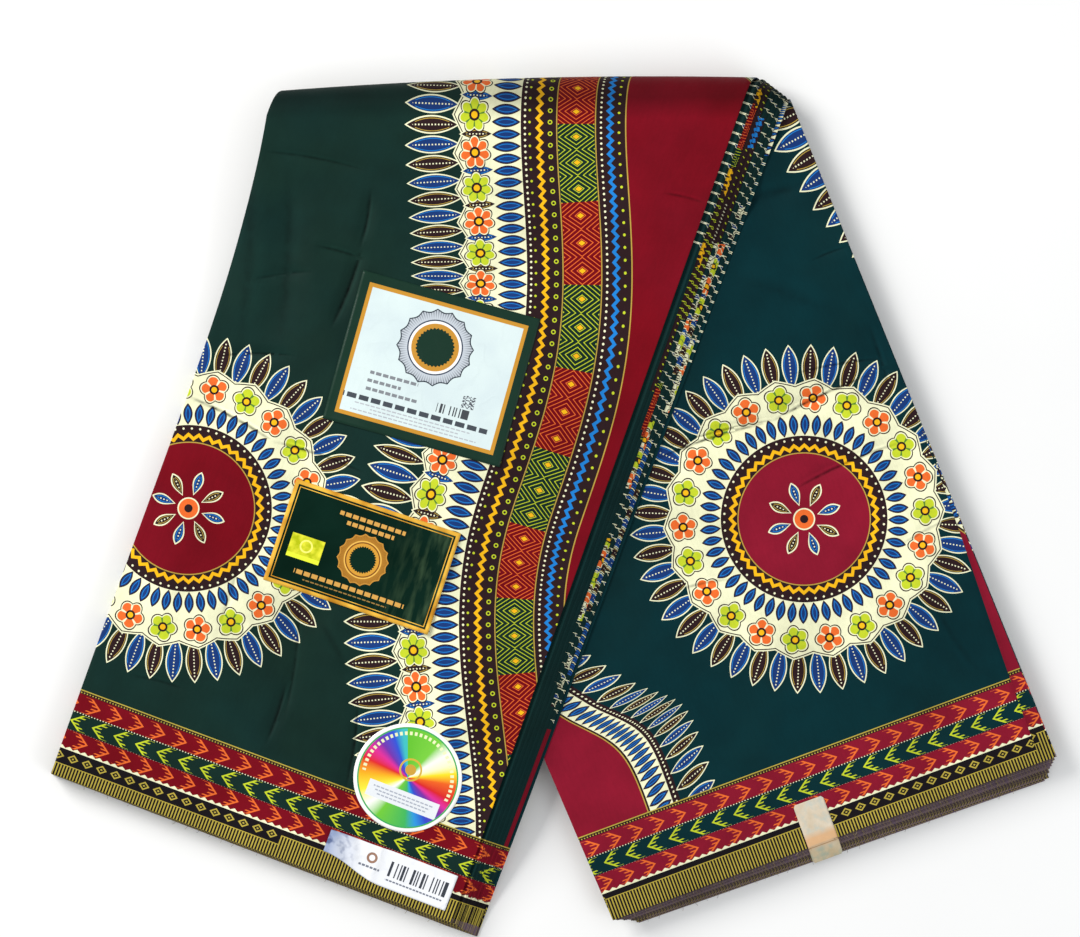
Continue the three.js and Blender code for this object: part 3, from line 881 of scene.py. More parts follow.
    ringOf(leaves, 112.0, 48, 6.2, 17.0, middle=110.0)
    ruffled = r + abs(k.cell(angle * 88.0, math.tau * 88.0 / 22)) * 0.4
    paintDiscs(ruffled, [(102.6, "cream"), (101.6, "brown"), (100.8, "cream")])
    ringOf(daisies, 88.0, 22, 10.2, 5)
    paint(r < 76.5, "cream")
    ringOf(beads, 68.5, 52, 3.2, 7.6)
    paint(r < 60.5, "brown")
    ringOf(dots, 58.0, 60, 0.8, "cream")
    ringOf(rickrack, 52.0, 44, 1.6, 1.5, "yellow")
    paintDiscs(r, [(48.4, "gold"), (47.6, "wineGround")])
    ringOf(leaves, 19.0, 8, 3.6, 9.0)
    paintDiscs(r, [(8.0, "cream"), (7.0, "orange"), (3.0, "brown")])

    # border along each selvedge
    paintDiscs(h, [(65.0, "khaki"), (64.2, "brown")])
    dots(s, h, 2.2, 62.9, 0.5, "khaki")
    stripes = [(62.0, 55.0, 1, "wineGround", "orange"), (48.0, 41.4, -1, "ground", "lime"),
               (34.6, 28.0, 1, "wineGround", "orange")]
    for top, middle, way, field, line in stripes:
        paint(h < top, field)
        off = abs(h - middle)
        skew = k.cell(s + off * (1.35 * way), 16.7)
        inside = off < 5.8
        paint((abs(skew) < 0.95) * inside, line)
        beside = k.band(skew, -4.6, 0.0) if way > 0 else k.band(skew, 0.0, 4.6)
        paint((abs(k.cell(off, 2.4, 1.2)) < 0.4) * beside * inside, line)
        if top > 40:
            paint(h < top - 13.2, "brown")
            dots(s, h, 2.2, top - 13.7, 0.45, "cream")
    saw = 20.9 + (2.9 - k.math("PINGPONG", s, 2.9)) * 0.62
    paint(h < saw, "cream")
    paint(h < 20.3, "black")
    diamond = abs(k.cell(s, 11.0)) * (1.0 / 4.2) + abs(h - 15.0) * (1.0 / 3.2)
    paint(k.band(diamond, 0.62, 1.0), "khaki")
    paint(diamond < 0.24, "khaki")
    # The ticks at the very edge are longer along part of each repeat, where the band above them is narrow.
    phase = k.math("WRAP", s, 620.0, 0.0)
    longTicks = k.math("MAXIMUM", k.band(phase, 375.0, 545.0), k.band(phase, 172.0, 330.0))
    tickTop = 9.2 + longTicks * 6.8
    paint(longTicks * (h < 19.0), "black")
    paint(abs(h - tickTop) < 0.3, "khaki")
    paint((abs(k.cell(s, 2.3)) < 0.5) * (h < tickTop), "khaki")
    k.put(result.inputs[0], col)
    return k.tree


waxPrint = buildPrint()
print("print drawn with", len(waxPrint.nodes), "nodes")


def buildWeave():
    # Plain weave with slubs: a height for the bump, and a faint thread shade.
    k, given, result = newGroup("plainWeave", "Shader",
                                {"Cloth": "Vector", "Pitch": "Float", "Slub": "Float"},
                                {"Height": "Float", "Shade": "Float"})
    place = k.out(given, 0)
    x, y, _ = k.split(place)
    u, v = [value / k.out(given, 1) for value in (x, y)]
    slub = k.noise(place, 420.0)
    threads = slub * k.out(given, 2)
    for over, under in ((u, v), (v, u)):
        thread = k.math("SINE", over * math.tau) * k.math("SIGN", k.math("SINE", under * math.pi))
        threads = threads + thread * 0.25
    k.put(result.inputs[0], threads)
    streak = k.noise(k.stretched(place, (1.0, 0.12, 1.0)), 640.0)
    mottle = k.ramp(k.noise(place, 38.0, 4.0), 0.3, 0.7, 0.0, 0.2)
    broad = k.ramp(k.noise(place, 10.0), 0.3, 0.7, 0.0, 0.26)
    k.put(result.inputs[1], 0.62 + broad + (slub * 0.12 + (streak * 0.18 + mottle)))
    return k.tree


plainWeave = buildWeave()


def principled(name, settings):
    # A material with one shader; its settings go on the shader's own sockets.
    material = bpy.data.materials.new(name)
    material.use_nodes = True
    material.node_tree.nodes.clear()
    k = Maker(material.node_tree)
    shader = k.fill(k.node("ShaderNodeBsdfPrincipled"), settings)
    k.fill(k.node("ShaderNodeOutputMaterial"), {0: shader.outputs[0]})
    return material, k, shader


def bell(k, x, wide):
    ratio = x / wide
    return k.math("EXPONENT", ratio * ratio * -1.0)


weaveLook = {"pitch": 0.00062, "slub": 0.6, "bump": (0.25, 0.0002), "creaseBump": (0.8, 0.0012),
             "specular": 0.06, "wornWidth": 3.0}


def clothMaterial(name, wash):
    material, k, shader = principled(name, {"Specular IOR Level": weaveLook["specular"]})
    uv = k.map("cloth")
    rosette = k.attribute("rosette", "Vector")
    paint = k.out(k.group(waxPrint, uv, k.attribute("garland", "Vector"), rosette, wash))
    weave = k.group(plainWeave, uv, weaveLook["pitch"], weaveLook["slub"])

    # painted shade and highlight: each soft crease has a dark painted line, with a painted highlight beside
    # it
    off, strength, half = k.split(k.attribute("crease", "Vector"))
    uneven = k.ramp(k.noise(uv, 150.0), 0.35, 0.6, 0.45, 1.0)
    gap = off / half
    line = bell(k, gap, 0.2) * strength * uneven
    paintedGlint = bell(k, gap - 0.42, 0.26) * strength
    shade = k.out(weave, 1) * (1.0 - line * 0.9 + paintedGlint * 0.3)
    # painted shade where the cloth turns down at the fold, and in the grooves between laps; lapShade adds
    # each lap's random tone and the painted lightening of the right edge
    _, alongTable, _ = k.split(k.out(k.node("ShaderNodeTexCoord"), "Object"))
    shade = shade * k.ramp(alongTable, *cloth["foldShadow"], 1.0, 0.5)
    shade = shade * k.ramp(k.attribute("groove", "Fac"), 0.0, 1.0, 1.0, 0.5) * k.attribute("lapShade", "Fac")

    # the very edge of the selvedge is worn pale
    fromHem = k.split(rosette)[2] * 1000.0
    worn = (fromHem < weaveLook["wornWidth"]) * k.ramp(k.noise(uv, 300.0), 0.3, 0.7, 0.4, 0.85)
    worn = worn * k.ramp(k.attribute("lapWear", "Fac"), 0.0, 0.55, 0.0, 1.3)
    paint = k.color(worn, paint, srgb(108, 90, 104))
    normal = k.bump(k.out(weave), *weaveLook["bump"])
    normal = k.bump(bell(k, gap, 0.3) * strength * -1.0, *weaveLook["creaseBump"], normal)
    k.fill(shader, {"Base Color": k.darkened(paint, shade), "Normal": normal,
                    "Roughness": k.ramp(k.noise(uv, 60.0, 3.0), 0.3, 0.7, 0.52, 0.64)})
    return material


for obj, name, wash in ((outerLap, "waxPrintFrontLap", 0.15), (innerLap, "waxPrintBackLap", 0.95),
                        (lapEdges, "waxPrintLapEdges", 0.5)):
    obj.data.materials.append(clothMaterial(name, wash))
print("cloth materials ready")

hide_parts("outer_lap")
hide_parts("inner_lap")
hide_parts("hidden_laps")
for obj, slotName in ((outerLap, "print_cloth"), (innerLap, "print_cloth"), (lapEdges, "lap_edges")):
    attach(obj, "root")

def treeOf(obj):
    mesh = obj.data
    points = np.zeros(len(mesh.vertices) * 3, np.float32)
    mesh.vertices.foreach_get("co", points)
    corners = np.zeros(len(mesh.loops), np.int32)
    mesh.loops.foreach_get("vertex_index", corners)
    return BVHTree.FromPolygons(points.reshape(-1, 3).tolist(), corners.reshape(-1, 4).tolist())


clothTrees = [treeOf(outerLap), treeOf(innerLap), treeOf(lapEdges)]


def clothTop(x, y):
    hits = [tree.ray_cast(Vector((x, y, 0.2)), Vector((0, 0, -1)))[0] for tree in clothTrees]
    return max([hit.z for hit in hits if hit] + [0.0])


def stiffened(low, passes):
    # Stiff paper bridges small dips.
    z = low.copy()
    for _ in range(passes):
        pad = np.pad(z, 1, mode="edge")
        z = np.maximum(low, (pad[:-2, 1:-1] + pad[2:, 1:-1] + pad[1:-1, :-2] + pad[1:-1, 2:]) / 4)
    return z


def paper(name, settings, material, node, gridPoints, lift=None):
    # A thin closed sheet: gridPoints is rows of (x, y) on the paper; lift adds height as (x, y) on the paper.
    turn, (cx, cy) = math.radians(settings["turn"]), settings["centre"]
    cosTurn, sinTurn = math.cos(turn), math.sin(turn)
    x, y = gridPoints[..., 0], gridPoints[..., 1]
    plan = np.stack([cx + x * cosTurn - y * sinTurn, cy + x * sinTurn + y * cosTurn], -1)
    plan = plan + np.array(cloth["shift"])
    ground = np.array([[clothTop(*p) for p in row] for row in plan])
    z = stiffened(ground + settings["gap"], settings["stiff"])
    if lift is not None:
        z = z + lift(x, y)
    heights = (z + settings["thick"], z)
    sheets = [np.concatenate([plan, column(height)], -1).reshape(-1, 3) for height in heights]
    topFaces, bottomFaces, ring = gridFaces(np.arange(z.size).reshape(z.shape))
    sides = sideFaces(ring, ring + z.size)
    faces = np.concatenate([topFaces, bottomFaces + z.size, sides])
    mesh = meshOf(name, np.concatenate(sheets), faces)
    mesh.polygons.foreach_set("use_smooth", np.arange(len(faces)) < 2 * len(topFaces))
    flat = gridPoints.reshape(-1, 2)
    addMap(mesh, "paper", np.concatenate([flat, flat])[faces])
    # The bake's map: the shown side large, the hidden side and the thin edge small above it.
    fitted = (flat / np.abs(flat).max(0) + 1) / 2
    step = 0.5 / len(sides)
    left = 0.48 + step * np.arange(len(sides))
    addMap(mesh, "OFBake", np.concatenate([intoBox(fitted[topFaces], (0.01, 0.01, 0.99, 0.87)),
                                           intoBox(fitted[bottomFaces], (0.01, 0.89, 0.46, 0.98)),
                                           boxCorners(left, left + step, 0.89, 0.98)]))
    mesh.materials.append(material)
    obj = addObject(name, mesh)
    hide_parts(node)
    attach(obj, "root")


def buildPaperGrain():
    # Paper's own unevenness: a height for the bump and a faint shade, with soft handling creases; the shade
    # is a little darker along the creases, a painted shade.
    k, given, result = newGroup("paperGrain", "Shader", {"Place": "Vector", "Crease": "Float"},
                                {"Height": "Float", "Shade": "Float"})
    fine = k.noise(k.out(given, 0), 900.0, 3.0)
    ridge = abs(k.noise(k.out(given, 0), 38.0) - 0.5)
    crease = k.ramp(ridge, 0.0, 0.05, 1.0, 0.0) * k.out(given, 1)
    k.fill(result, {0: fine * 0.15 + crease, 1: 0.97 + fine * 0.05 - crease * 0.06})
    return k.tree


paperGrain = buildPaperGrain()


def paperMaterial(name, settings, draw):
    gloss = {"Specular IOR Level": settings["specular"], "Coat Weight": settings.get("coat", 0.0),
             "Coat Roughness": 0.12, "Metallic": settings.get("metallic", 0.0)}
    material, k, shader = principled(name, gloss)
    rough = settings["rough"]
    place = k.map("paper")
    x, y, _ = k.split(place)
    surface = k.group(paperGrain, place, settings["grain"])
    paint = draw(k, place, x * 1000.0, y * 1000.0)
    k.fill(shader, {"Base Color": k.darkened(paint, k.out(surface, 1)),
                    "Roughness": k.ramp(k.noise(place, 90.0), 0.3, 0.7, rough - 0.05, rough + 0.06),
                    "Normal": k.bump(k.out(surface), 0.35, 0.0006)})
    return material


def edgeDistance(k, x, y, settings):
    # How far inside a label's edge, in millimetres.
    return k.math("MINIMUM", settings["width"] * 500 - abs(x), settings["height"] * 500 - abs(y))


def rules(k, col, x, y, ink, lines):
    # Broken rules where words would stand: each is (middle x, middle y, length, height, dash).
    for cx, cy, long, high, dash in lines:
        inside = k.within(x, y, (cx, cy), (long / 2, high / 2))
        col = k.color(inside * (k.math("WRAP", x + 200.0, dash, 0.0) > dash * 0.22), col, ink)
    return col


def barcode(k, x, y, centre, half, bar):
    draw = k.node("ShaderNodeTexWhiteNoise", noise_dimensions="1D")
    k.fill(draw, {"W": k.math("FLOOR", (x + 200.0) / bar)})
    return k.within(x, y, centre, half) * (k.out(draw) < 0.52)


def codeMarks(k, x, y, centre, half, cell):
    # A square of small marks that spell nothing.
    at = k.fill(k.node("ShaderNodeCombineXYZ"), {0: k.math("FLOOR", x / cell), 1: k.math("FLOOR", y / cell)})
    draw = k.fill(k.node("ShaderNodeTexWhiteNoise", noise_dimensions="2D"), {"Vector": k.out(at)})
    return k.within(x, y, centre, (half, half)) * (k.out(draw) < 0.55)


def seal(k, col, x, y, centre, radii, colors):
    # Scalloped seal: outer edge, thin ring, gold ring and toothed middle.
    px, py = x - centre[0], y - centre[1]
    r = k.hypot(px, py)
    angle = k.math("ARCTAN2", py, px)
    outer, thin, gold, middle = radii
    scallops, rays, teeth = 16, 88.0, 32
    edge = outer - abs(k.math("COSINE", angle * (scallops / 2))) * (outer * 0.075)
    fluting = k.ramp(k.math("SINE", angle * rays), -1.0, 1.0) * k.ramp(r, thin, outer)
    col = k.color(r < edge, col, k.color(fluting, colors["pale"], colors["flute"]))
    col = k.color(k.band(r - edge, -0.9, 0.0), col, colors["rim"])
    toothed = middle + k.math("PINGPONG", angle * (teeth / math.tau), 0.5) * 2.2
    for radius, name in ((thin + 0.5, "ring"), (thin - 0.5, "inside"), (gold, "gold"), (toothed, "middle")):
        col = k.color(r < radius, col, colors[name])
    return col


def rectangle(wide, high, nx, ny):
    x, y = np.linspace(-wide / 2, wide / 2, nx), np.linspace(-high / 2, high / 2, ny)
    return np.stack(np.meshgrid(x, y), -1)


# The papers' places and sizes are in metres and their turns in degrees; borders, frames and drawings are in
# millimetres.
largeLabel = {"centre": (-0.0875, 0.099), "width": 0.133, "height": 0.111, "turn": -15.5, "gap": 0.00025,
              "thick": 0.0002, "stiff": 30, "border": 7.0, "gold": 2.9,
              "rough": 0.42, "grain": 0.25, "specular": 0.2, "coat": 0.05}


def drawLargeLabel(k, place, x, y):
    edge = edgeDistance(k, x, y, largeLabel)
    field = k.color(k.ramp(k.noise(place, 30.0), 0.35, 0.65), srgb(214, 229, 228), srgb(206, 221, 223))
    col = k.color(edge < largeLabel["border"] + largeLabel["gold"], field, srgb(196, 140, 44))
    col = k.color(edge < largeLabel["border"], col, srgb(6, 44, 30))
    col = seal(k, col, x, y, (-1.5, 15.4), (28.2, 19.7, 17.3, 13.2),
               {"pale": srgb(196, 204, 212), "flute": srgb(38, 48, 60), "rim": srgb(36, 46, 58),
                "ring": srgb(52, 64, 84), "inside": srgb(242, 243, 242), "gold": srgb(196, 140, 48),
                "middle": srgb(10, 46, 32)})
    col = rules(k, col, x, y, srgb(128, 132, 138),
                [(-24.0, -14.0, 36.0, 2.3, 5.2), (-30.0, -20.0, 25.0, 2.3, 4.6),
                 (-23.0, -26.0, 38.0, 2.3, 4.9)])
    col = rules(k, col, x, y, srgb(66, 72, 80), [(-3.0, -33.6, 108.0, 3.6, 9.0)])
    col = rules(k, col, x, y, srgb(176, 180, 186),
                [(-4.0, -37.8, 86.0, 0.9, 4.0), (-2.0, -40.4, 66.0, 0.9, 3.4), (-2.0, -43.0, 94.0, 0.9, 3.8)])
    col = k.color(barcode(k, x, y, (24.0, -25.8), (13.0, 3.4), 0.9), col, srgb(64, 68, 74))
    return k.color(codeMarks(k, x, y, (32.4, -16.6), 4.6, 0.75), col, srgb(84, 88, 96))


framedLabel = {"centre": (-0.138, -0.037), "width": 0.126, "height": 0.077, "turn": -18.4, "gap": 0.00025,
               "thick": 0.00025, "stiff": 30, "frame": 2.9,
               "rough": 0.36, "grain": 0.3, "specular": 0.04, "coat": 0.02}


def drawFramedLabel(k, place, x, y):
    edge = edgeDistance(k, x, y, framedLabel)
    field = k.color(k.ramp(k.noise(place, 26.0), 0.35, 0.65), srgb(2, 27, 18), srgb(6, 35, 26))
    # Glossy paper buckles towards its right end; its shine there is painted into the colour as light streaks,
    # a painted highlight.
    paintedShine = k.ramp(k.noise(k.stretched(place, (1.0, 0.22, 1.0)), 190.0, 3.0), 0.45, 0.72)
    field = k.color(paintedShine * k.ramp(x, 14.0, 50.0) * 0.8, field, srgb(58, 80, 56))
    gold = k.color(k.ramp(k.noise(place, 55.0), 0.35, 0.65), srgb(186, 128, 34), srgb(240, 190, 74))
    col = k.color(k.band(edge, 4.3, 4.9), field, gold)
    col = k.color(edge < framedLabel["frame"], col, gold)
    col = seal(k, col, x, y, (1.2, -2.2), (19.2, 13.4, 12.0, 9.0),
               {"pale": srgb(170, 118, 44), "flute": srgb(140, 92, 34), "rim": srgb(190, 136, 56),
                "ring": srgb(226, 178, 84), "inside": srgb(120, 70, 30), "gold": srgb(206, 150, 56),
                "middle": srgb(8, 38, 28)})
    col = rules(k, col, x, y, srgb(206, 156, 78),
                [(0.0, 25.6, 50.0, 3.0, 5.4), (0.0, 20.0, 36.0, 3.0, 5.0), (-2.0, -25.0, 84.0, 3.2, 5.8)])
    col = rules(k, col, x, y, srgb(150, 118, 62), [(-4.0, -29.6, 64.0, 0.9, 3.6)])
    px, py = x + 40.8, y + 7.6
    foil = k.color(k.ramp(k.noise(place, 160.0), 0.35, 0.65), srgb(176, 186, 20), srgb(228, 226, 60))
    foil = k.color(py < -5.6, foil, srgb(226, 240, 60))
    ring = k.hypot(px, py - 1.6)
    foil = k.color((ring < 4.8) * (ring > 3.6), foil, srgb(240, 236, 120))
    return k.color(k.within(px, py, (0.0, 0.0), (12.4, 8.8)), col, foil)


roundSeal = {"centre": (-0.105, -0.1975), "radius": 0.0395, "turn": -21.0, "gap": 0.0002, "thick": 0.0002,
             "stiff": 12, "rough": 0.34, "grain": 0.1, "specular": 0.3, "coat": 0.15, "metallic": 0.15}


def paintedFoilReflection(k, bearing):
    # The foil's rainbow and white shine round the seal, a painted reflection, as (part of a turn, colour).
    stops = [(0.0, (96, 190, 40)), (0.12, (120, 205, 60)), (0.165, (250, 250, 240)), (0.205, (250, 246, 200)),
             (0.235, (255, 226, 30)), (0.275, (236, 96, 20)), (0.33, (214, 20, 28)), (0.36, (220, 40, 150)),
             (0.385, (120, 40, 160)), (0.44, (40, 70, 200)), (0.475, (40, 150, 220)), (0.51, (60, 180, 90)),
             (0.61, (110, 200, 50)), (0.66, (252, 252, 246)), (0.71, (255, 236, 60)), (0.765, (250, 180, 20)),
             (0.82, (222, 30, 30)), (0.865, (222, 40, 150)), (0.90, (112, 44, 168)), (0.95, (40, 80, 210)),
             (0.985, (60, 190, 190))]
    ramp = k.fill(k.node("ShaderNodeValToRGB"), {0: bearing})
    elements = ramp.color_ramp.elements
    for element, (place, color) in zip(elements, stops):
        element.position, element.color = place, srgb(*color)
    for place, color in stops[2:]:
        elements.new(place).color = srgb(*color)
    return k.out(ramp)


def drawRoundSeal(k, place, x, y):
    r = k.hypot(x, y)
    bearing = k.math("FRACT", k.math("ARCTAN2", x, y) / math.tau + (1.0 - roundSeal["turn"] / 360))
    col = paintedFoilReflection(k, bearing)
    rulesAround = k.band(r, 31.0, 33.6) * (k.math("WRAP", bearing * 56.0, 1.0, 0.0) > 0.45)
    col = k.color(rulesAround * (y > -6.0), col, srgb(236, 240, 190))
    col = k.color(k.band(k.hypot(x, y - 6.0), 7.0, 8.4), col, srgb(214, 176, 60))
    col = k.color(k.hypot(x, y - 6.0) < 4.0, col, srgb(206, 160, 56))
    col = k.color(k.within(x, y, (1.9, -16.0), (27.0, 6.0)), col, srgb(232, 236, 240))
    col = rules(k, col, x, y, srgb(170, 176, 190),
                [(1.9, -13.6, 46.0, 1.0, 3.4), (1.9, -16.2, 42.0, 1.0, 3.0), (1.9, -18.8, 38.0, 1.0, 3.2)])
    col = k.color(r > 35.7, col, srgb(60, 170, 90))
    return k.color(r > 36.8, col, srgb(248, 248, 244))


hemSticker = {"centre": (-0.119, -0.264), "width": 0.098, "height": 0.027, "turn": -21.0, "leftTaper": 0.62,
              "gap": 0.00025, "thick": 0.0002, "stiff": 4,
              "rough": 0.4, "grain": 0.6, "specular": 0.4, "coat": 0.2}


def drawHemSticker(k, place, x, y):
    left = k.ramp(x + k.noise(place, 60.0) * 18.0, -40.0, -14.0, 1.0, 0.0)
    col = k.color(left, srgb(236, 238, 242), srgb(140, 156, 190))
    col = k.color(k.ramp(k.noise(place, 130.0), 0.5, 0.62) * left, col, srgb(74, 92, 136))
    col = k.color(barcode(k, x, y, (22.0, 0.8), (23.0, 5.6), 0.95), col, srgb(44, 50, 60))
    fromMark = k.hypot(x + 14.0, y - 3.6)
    col = k.color((fromMark < 4.0) * (fromMark > 2.2), col, srgb(150, 112, 92))
    return rules(k, col, x, y, srgb(112, 118, 132),
                 [(22.0, -7.6, 44.0, 1.2, 2.6), (-14.0, -3.4, 16.0, 1.6, 3.0)])


paperTape = {"centre": (0.1852, -0.2142), "width": 0.023, "lap": 0.033, "reach": 0.0125, "turn": 20.2,
             "gap": 0.00025, "thick": 0.00025, "stiff": 40, "rough": 0.62, "grain": 0.35, "specular": 0.25}


def drawTape(k, place, x, y):
    grain = k.ramp(k.noise(place, 120.0, 4.0), 0.3, 0.7)
    blotch = k.ramp(k.noise(place, 160.0, 3.0), 0.45, 0.65, 0.0, 0.55)
    pale = k.color(blotch, k.color(grain, srgb(202, 186, 160), srgb(216, 203, 182)), srgb(176, 190, 184))
    worn = k.color(blotch, k.color(grain, srgb(196, 176, 140), srgb(210, 194, 162)), srgb(140, 168, 156))
    col = k.color(k.ramp(y + k.noise(place, 50.0) * 5.0, -36.0, -26.0), worn, pale)
    col = k.color(k.ramp(abs(y + 29.0), 2.0, 7.0, 0.75, 0.0), col, srgb(214, 160, 104))
    return k.color(k.band(y, -33.8, -33.2), col, srgb(168, 128, 84))


print("paper drawings ready")


# How the papers stand off the cloth, by place on the paper.
def largeLift(x, y):
    topLeft = smooth((-x - 0.045) / 0.022) * smooth((y - 0.035) / 0.02)
    return 0.0016 * topLeft + 0.0010 * smooth((x - 0.05) / 0.016) * smooth((-y - 0.03) / 0.025)


def framedLift(x, y):
    return 0.0022 * smooth((x - 0.050) / 0.013) * (0.6 + 0.4 * np.sin(y * 120))


def stickerLift(x, y):
    wrinkled = 0.0012 * smooth((-x - 0.012) / 0.02) * (0.5 + 0.5 * np.sin(x * 420 + y * 260))
    return wrinkled + 0.0008 * np.exp(-((x + 0.01) / 0.003) ** 2)


def discGrid(radius, n):
    # A square grid drawn out into a disc.
    u, v = np.meshgrid(np.linspace(-1, 1, n), np.linspace(-1, 1, n))
    return np.stack([radius * u * np.sqrt(1 - v * v / 2), radius * v * np.sqrt(1 - u * u / 2)], -1)


def stickerGrid(wide, high):
    # Narrower at its left end, where it also bends up a little.
    grid = rectangle(wide, high, 61, 19)
    narrow = mix(hemSticker["leftTaper"], 1.0, smooth((grid[..., 0] / wide + 0.5) * 2))
    grid[..., 1] = grid[..., 1] * narrow + 0.004 * smooth((-grid[..., 0] - 0.005) / 0.04)
    return grid


def tapeGrid(wide, long):
    grid = rectangle(wide, long, 17, 61)
    grid[..., 1] -= long / 2
    toEnd = np.minimum(-grid[..., 1], grid[..., 1] + long)
    grid[..., 0] *= 1 - 0.12 * np.exp(-(toEnd / 0.0011) ** 2)  # torn by hand, its corners are a little round
    return grid


paper("largeLabel", largeLabel, paperMaterial("labelPaperWhite", largeLabel, drawLargeLabel),
      "large_label", rectangle(largeLabel["width"], largeLabel["height"], 61, 51), largeLift)
paper("framedLabel", framedLabel, paperMaterial("labelPaperGreen", framedLabel, drawFramedLabel),
      "framed_label", rectangle(framedLabel["width"], framedLabel["height"], 61, 39),
      framedLift)
paper("roundSeal", roundSeal, paperMaterial("sealFoil", roundSeal, drawRoundSeal),
      "round_seal", discGrid(roundSeal["radius"], 45))
paper("hemSticker", hemSticker, paperMaterial("stickerPaper", hemSticker, drawHemSticker),
      "hem_sticker", stickerGrid(hemSticker["width"], hemSticker["height"]), stickerLift)
paper("paperTape", paperTape, paperMaterial("buffTape", paperTape, drawTape),
      "paper_tape", tapeGrid(paperTape["width"], paperTape["lap"] + paperTape["reach"]))
print("papers stuck on")

# Loose yarn ends along the selvedges.
yarnEnds = {"Spacing": 0.009, "Length": 0.0030, "Thick": 0.00010, "Seed": 7}


def buildYarnTree():
    k, given, result = newGroup("yarnEnds", "Geometry",
                                {"Geometry": "Geometry", "Spacing": "Float", "Length": "Float",
                                 "Thick": "Float", "Seed": "Int", "Finish": "Material"},
                                {"Geometry": "Geometry"})
    asked = given.outputs
    hemCurve = k.fill(k.node("GeometryNodeMeshToCurve"), {"Mesh": asked["Geometry"]})
    spaced = k.fill(k.node("GeometryNodeResampleCurve", mode="LENGTH"),
                    {"Curve": hemCurve.outputs["Curve"], "Length": asked["Spacing"]})

    yarn = k.fill(k.node("GeometryNodeCurveQuadraticBezier"), {"Resolution": 5})
    for name, bent in (("Start", (0.0, 0.0, -0.15)), ("Middle", (0.12, 0.0, 0.5)), ("End", (-0.2, 0.1, 1.0))):
        scaled = k.node("ShaderNodeVectorMath", operation="SCALE")
        k.fill(scaled, {0: bent, "Scale": asked["Length"]})
        k.put(yarn.inputs[name], scaled.outputs[0])
    section = k.fill(k.node("GeometryNodeCurvePrimitiveCircle"), {"Resolution": 5, "Radius": asked["Thick"]})
    strand = k.fill(k.node("GeometryNodeCurveToMesh"),
                    {"Curve": yarn.outputs["Curve"], "Profile Curve": section.outputs["Curve"],
                     "Fill Caps": True})

    outward = k.fill(k.node("GeometryNodeInputNamedAttribute", data_type="FLOAT_VECTOR"), {"Name": "outward"})
    wander = k.fill(k.node("FunctionNodeRandomValue", data_type="FLOAT_VECTOR"),
                    {"Min": (-0.9, -0.9, -0.25), "Max": (0.9, 0.9, 0.35), "Seed": asked["Seed"]})
    lean = k.fill(k.node("ShaderNodeVectorMath", operation="ADD"),
                  {0: outward.outputs["Attribute"], 1: wander.outputs["Value"]})
    aim = k.fill(k.node("FunctionNodeAlignRotationToVector", axis="Z"), {"Vector": lean.outputs[0]})
    size = k.fill(k.node("FunctionNodeRandomValue", data_type="FLOAT"),
                  {2: 0.35, 3: 1.2, "Seed": asked["Seed"]})
    placed = k.fill(k.node("GeometryNodeInstanceOnPoints"),
                    {"Points": spaced.outputs["Curve"], "Instance": strand.outputs["Mesh"],
                     "Rotation": aim.outputs["Rotation"], "Scale": size.outputs[1]})
    real = k.fill(k.node("GeometryNodeRealizeInstances"), {"Geometry": placed.outputs["Instances"]})
    finish = k.fill(k.node("GeometryNodeSetMaterial"),
                    {"Geometry": real.outputs["Geometry"], "Material": asked["Finish"]})
    k.put(result.inputs["Geometry"], finish.outputs["Geometry"])
    return k.tree


def mottled(name, scale, detail, low, high, colors, settings):
    # A plain material whose colour wanders between two.
    material, k, shader = principled(name, settings)
    place = k.out(k.node("ShaderNodeTexCoord"), "Object")
    k.put(shader.inputs["Base Color"], k.color(k.ramp(k.noise(place, scale, detail), low, high), *colors))
    return material


def addYarnEnds():
    frontOut, backOut, count = -grainAxis, -backGrainAxis, 60
    points, edges, aims = [], [], []
    # Two lines of yarn ends at each hem, one at each end of the stack: row, depth in the stack, and way out.
    for row, depth, aim in ((0.2, 0.0005, frontOut), (-5.8, 0.0158, frontOut),
                            (27.02, 0.0158, backOut), (32.6, 0.0008, backOut)):
        edges += [(len(points) + i, len(points) + i + 1) for i in range(count - 1)]
        points += lapPoint(np.linspace(0.02, 0.98, count), 0.0, row, depth)[0].tolist()
        aims += [(*aim, 0.0)] * count
    mesh = bpy.data.meshes.new("yarnEnds")
    mesh.from_pydata(points, edges, [])
    addVectors(mesh, "outward", "POINT", aims)
    obj = addObject("yarnEnds", mesh)
    tree = buildYarnTree()
    modifier = obj.modifiers.new("yarn", "NODES")
    modifier.node_group = tree
    material = mottled("looseYarn", 260.0, 2.0, 0.42, 0.6, (srgb(48, 34, 40), srgb(168, 150, 120)),
                       {"Roughness": 0.8, "Specular IOR Level": 0.2})
    values = {**yarnEnds, "Finish": material}
    for item in tree.interface.items_tree:
        if item.in_out == "INPUT" and item.name in values:
            modifier[item.identifier] = values[item.name]
    made = bpy.data.meshes.new_from_object(obj.evaluated_get(bpy.context.evaluated_depsgraph_get()))
    obj.modifiers.clear()
    obj.data = made
    made.polygons.foreach_set("use_smooth", np.ones(len(made.polygons), bool))
    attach(obj, "root")
    return obj


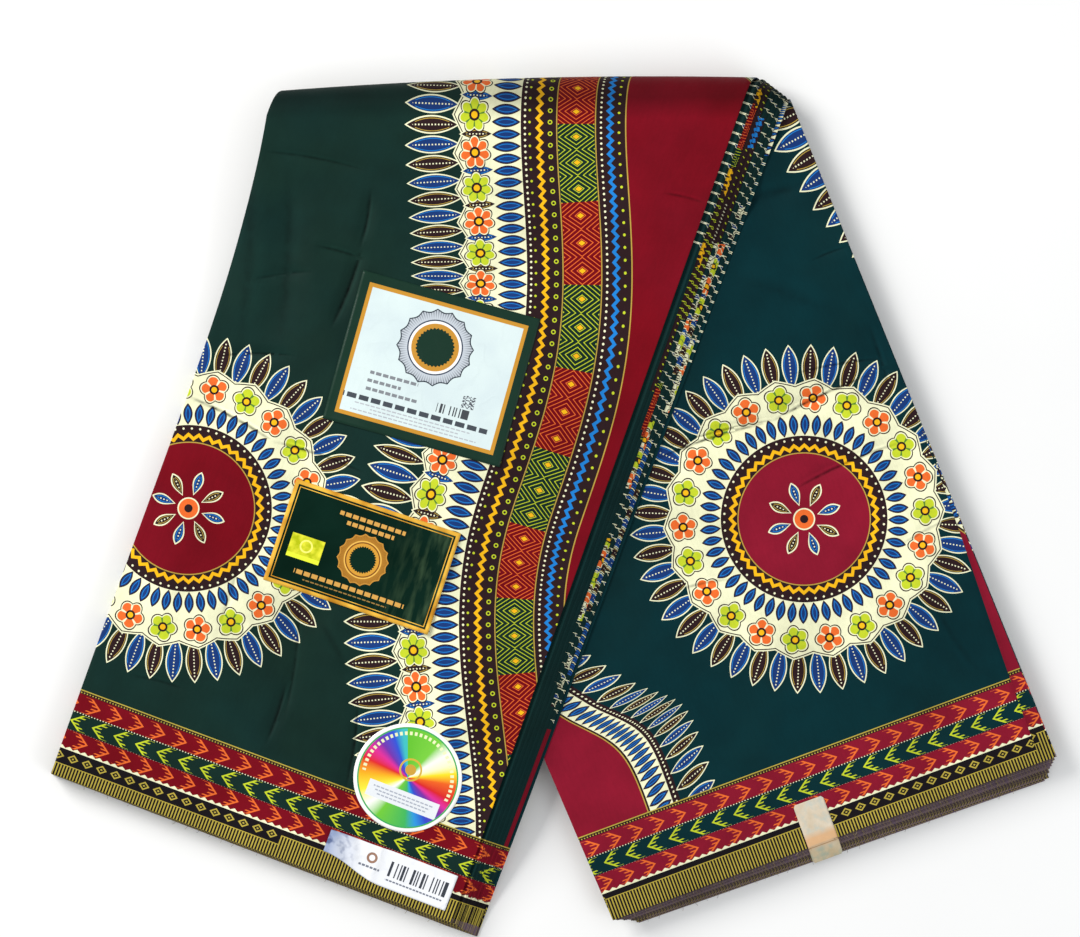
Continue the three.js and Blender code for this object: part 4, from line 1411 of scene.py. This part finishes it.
yarn = addYarnEnds()
print("yarn ends", len(yarn.data.polygons))

# The table, the light and the camera.
studio = {"view": (-0.0098, 0.0280), "lens": 200.0, "sensor": 36.0, "wide": 0.783, "height": 0.02,
          "tableHalf": 4.0, "tableTop": -0.0006, "worldColor": (0.97, 0.985, 1.0, 1), "worldStrength": 0.62}
lamps = {
    "softLeft": {"place": (-2.0, 1.45, 1.6), "size": 1.4, "power": 84.0, "color": (1.0, 0.985, 0.96)},
    "softRight": {"place": (1.8, -1.2, 1.7), "size": 1.6, "power": 18.0, "color": (0.95, 0.975, 1.0)},
}


def addFloor():
    a, z = studio["tableHalf"], studio["tableTop"]
    mesh = bpy.data.meshes.new("table")
    mesh.from_pydata([(-a, -a, z), (a, -a, z), (a, a, z), (-a, a, z)], [], [(0, 1, 2, 3)])
    grays = ((0.84, 0.84, 0.835, 1), (0.87, 0.87, 0.865, 1))
    mesh.materials.append(mottled("paleTable", 3.0, 4.0, 0.3, 0.7, grays,
                                  {"Roughness": 0.9, "Specular IOR Level": 0.1}))
    addObject("table", mesh)


def addLamp(name, place, size, power, color):
    # A square lamp aimed at the origin.
    lamp = bpy.data.lights.new(name, "AREA")
    lamp.shape, lamp.size, lamp.energy, lamp.color = "SQUARE", size, power, color
    obj = addObject(name, lamp)
    obj.location = place
    obj.rotation_mode = "QUATERNION"
    obj.rotation_quaternion = (-Vector(place)).to_track_quat("-Z", "Y")


addFloor()
for name, settings in lamps.items():
    addLamp(name, **settings)
world = bpy.data.worlds.new("studio")
world.use_nodes = True
background = world.node_tree.nodes["Background"]
background.inputs["Color"].default_value = studio["worldColor"]
background.inputs["Strength"].default_value = studio["worldStrength"]
bpy.context.scene.world = world
bpy.context.scene.view_settings.view_transform = "Standard"

lens = bpy.data.cameras.new("camera")
lens.lens, lens.sensor_width, lens.clip_end = studio["lens"], studio["sensor"], 50.0
camera = addObject("camera", lens)
camera.location = (*studio["view"], studio["wide"] * studio["lens"] / studio["sensor"] + studio["height"])
bpy.context.scene.camera = camera
print("studio ready")
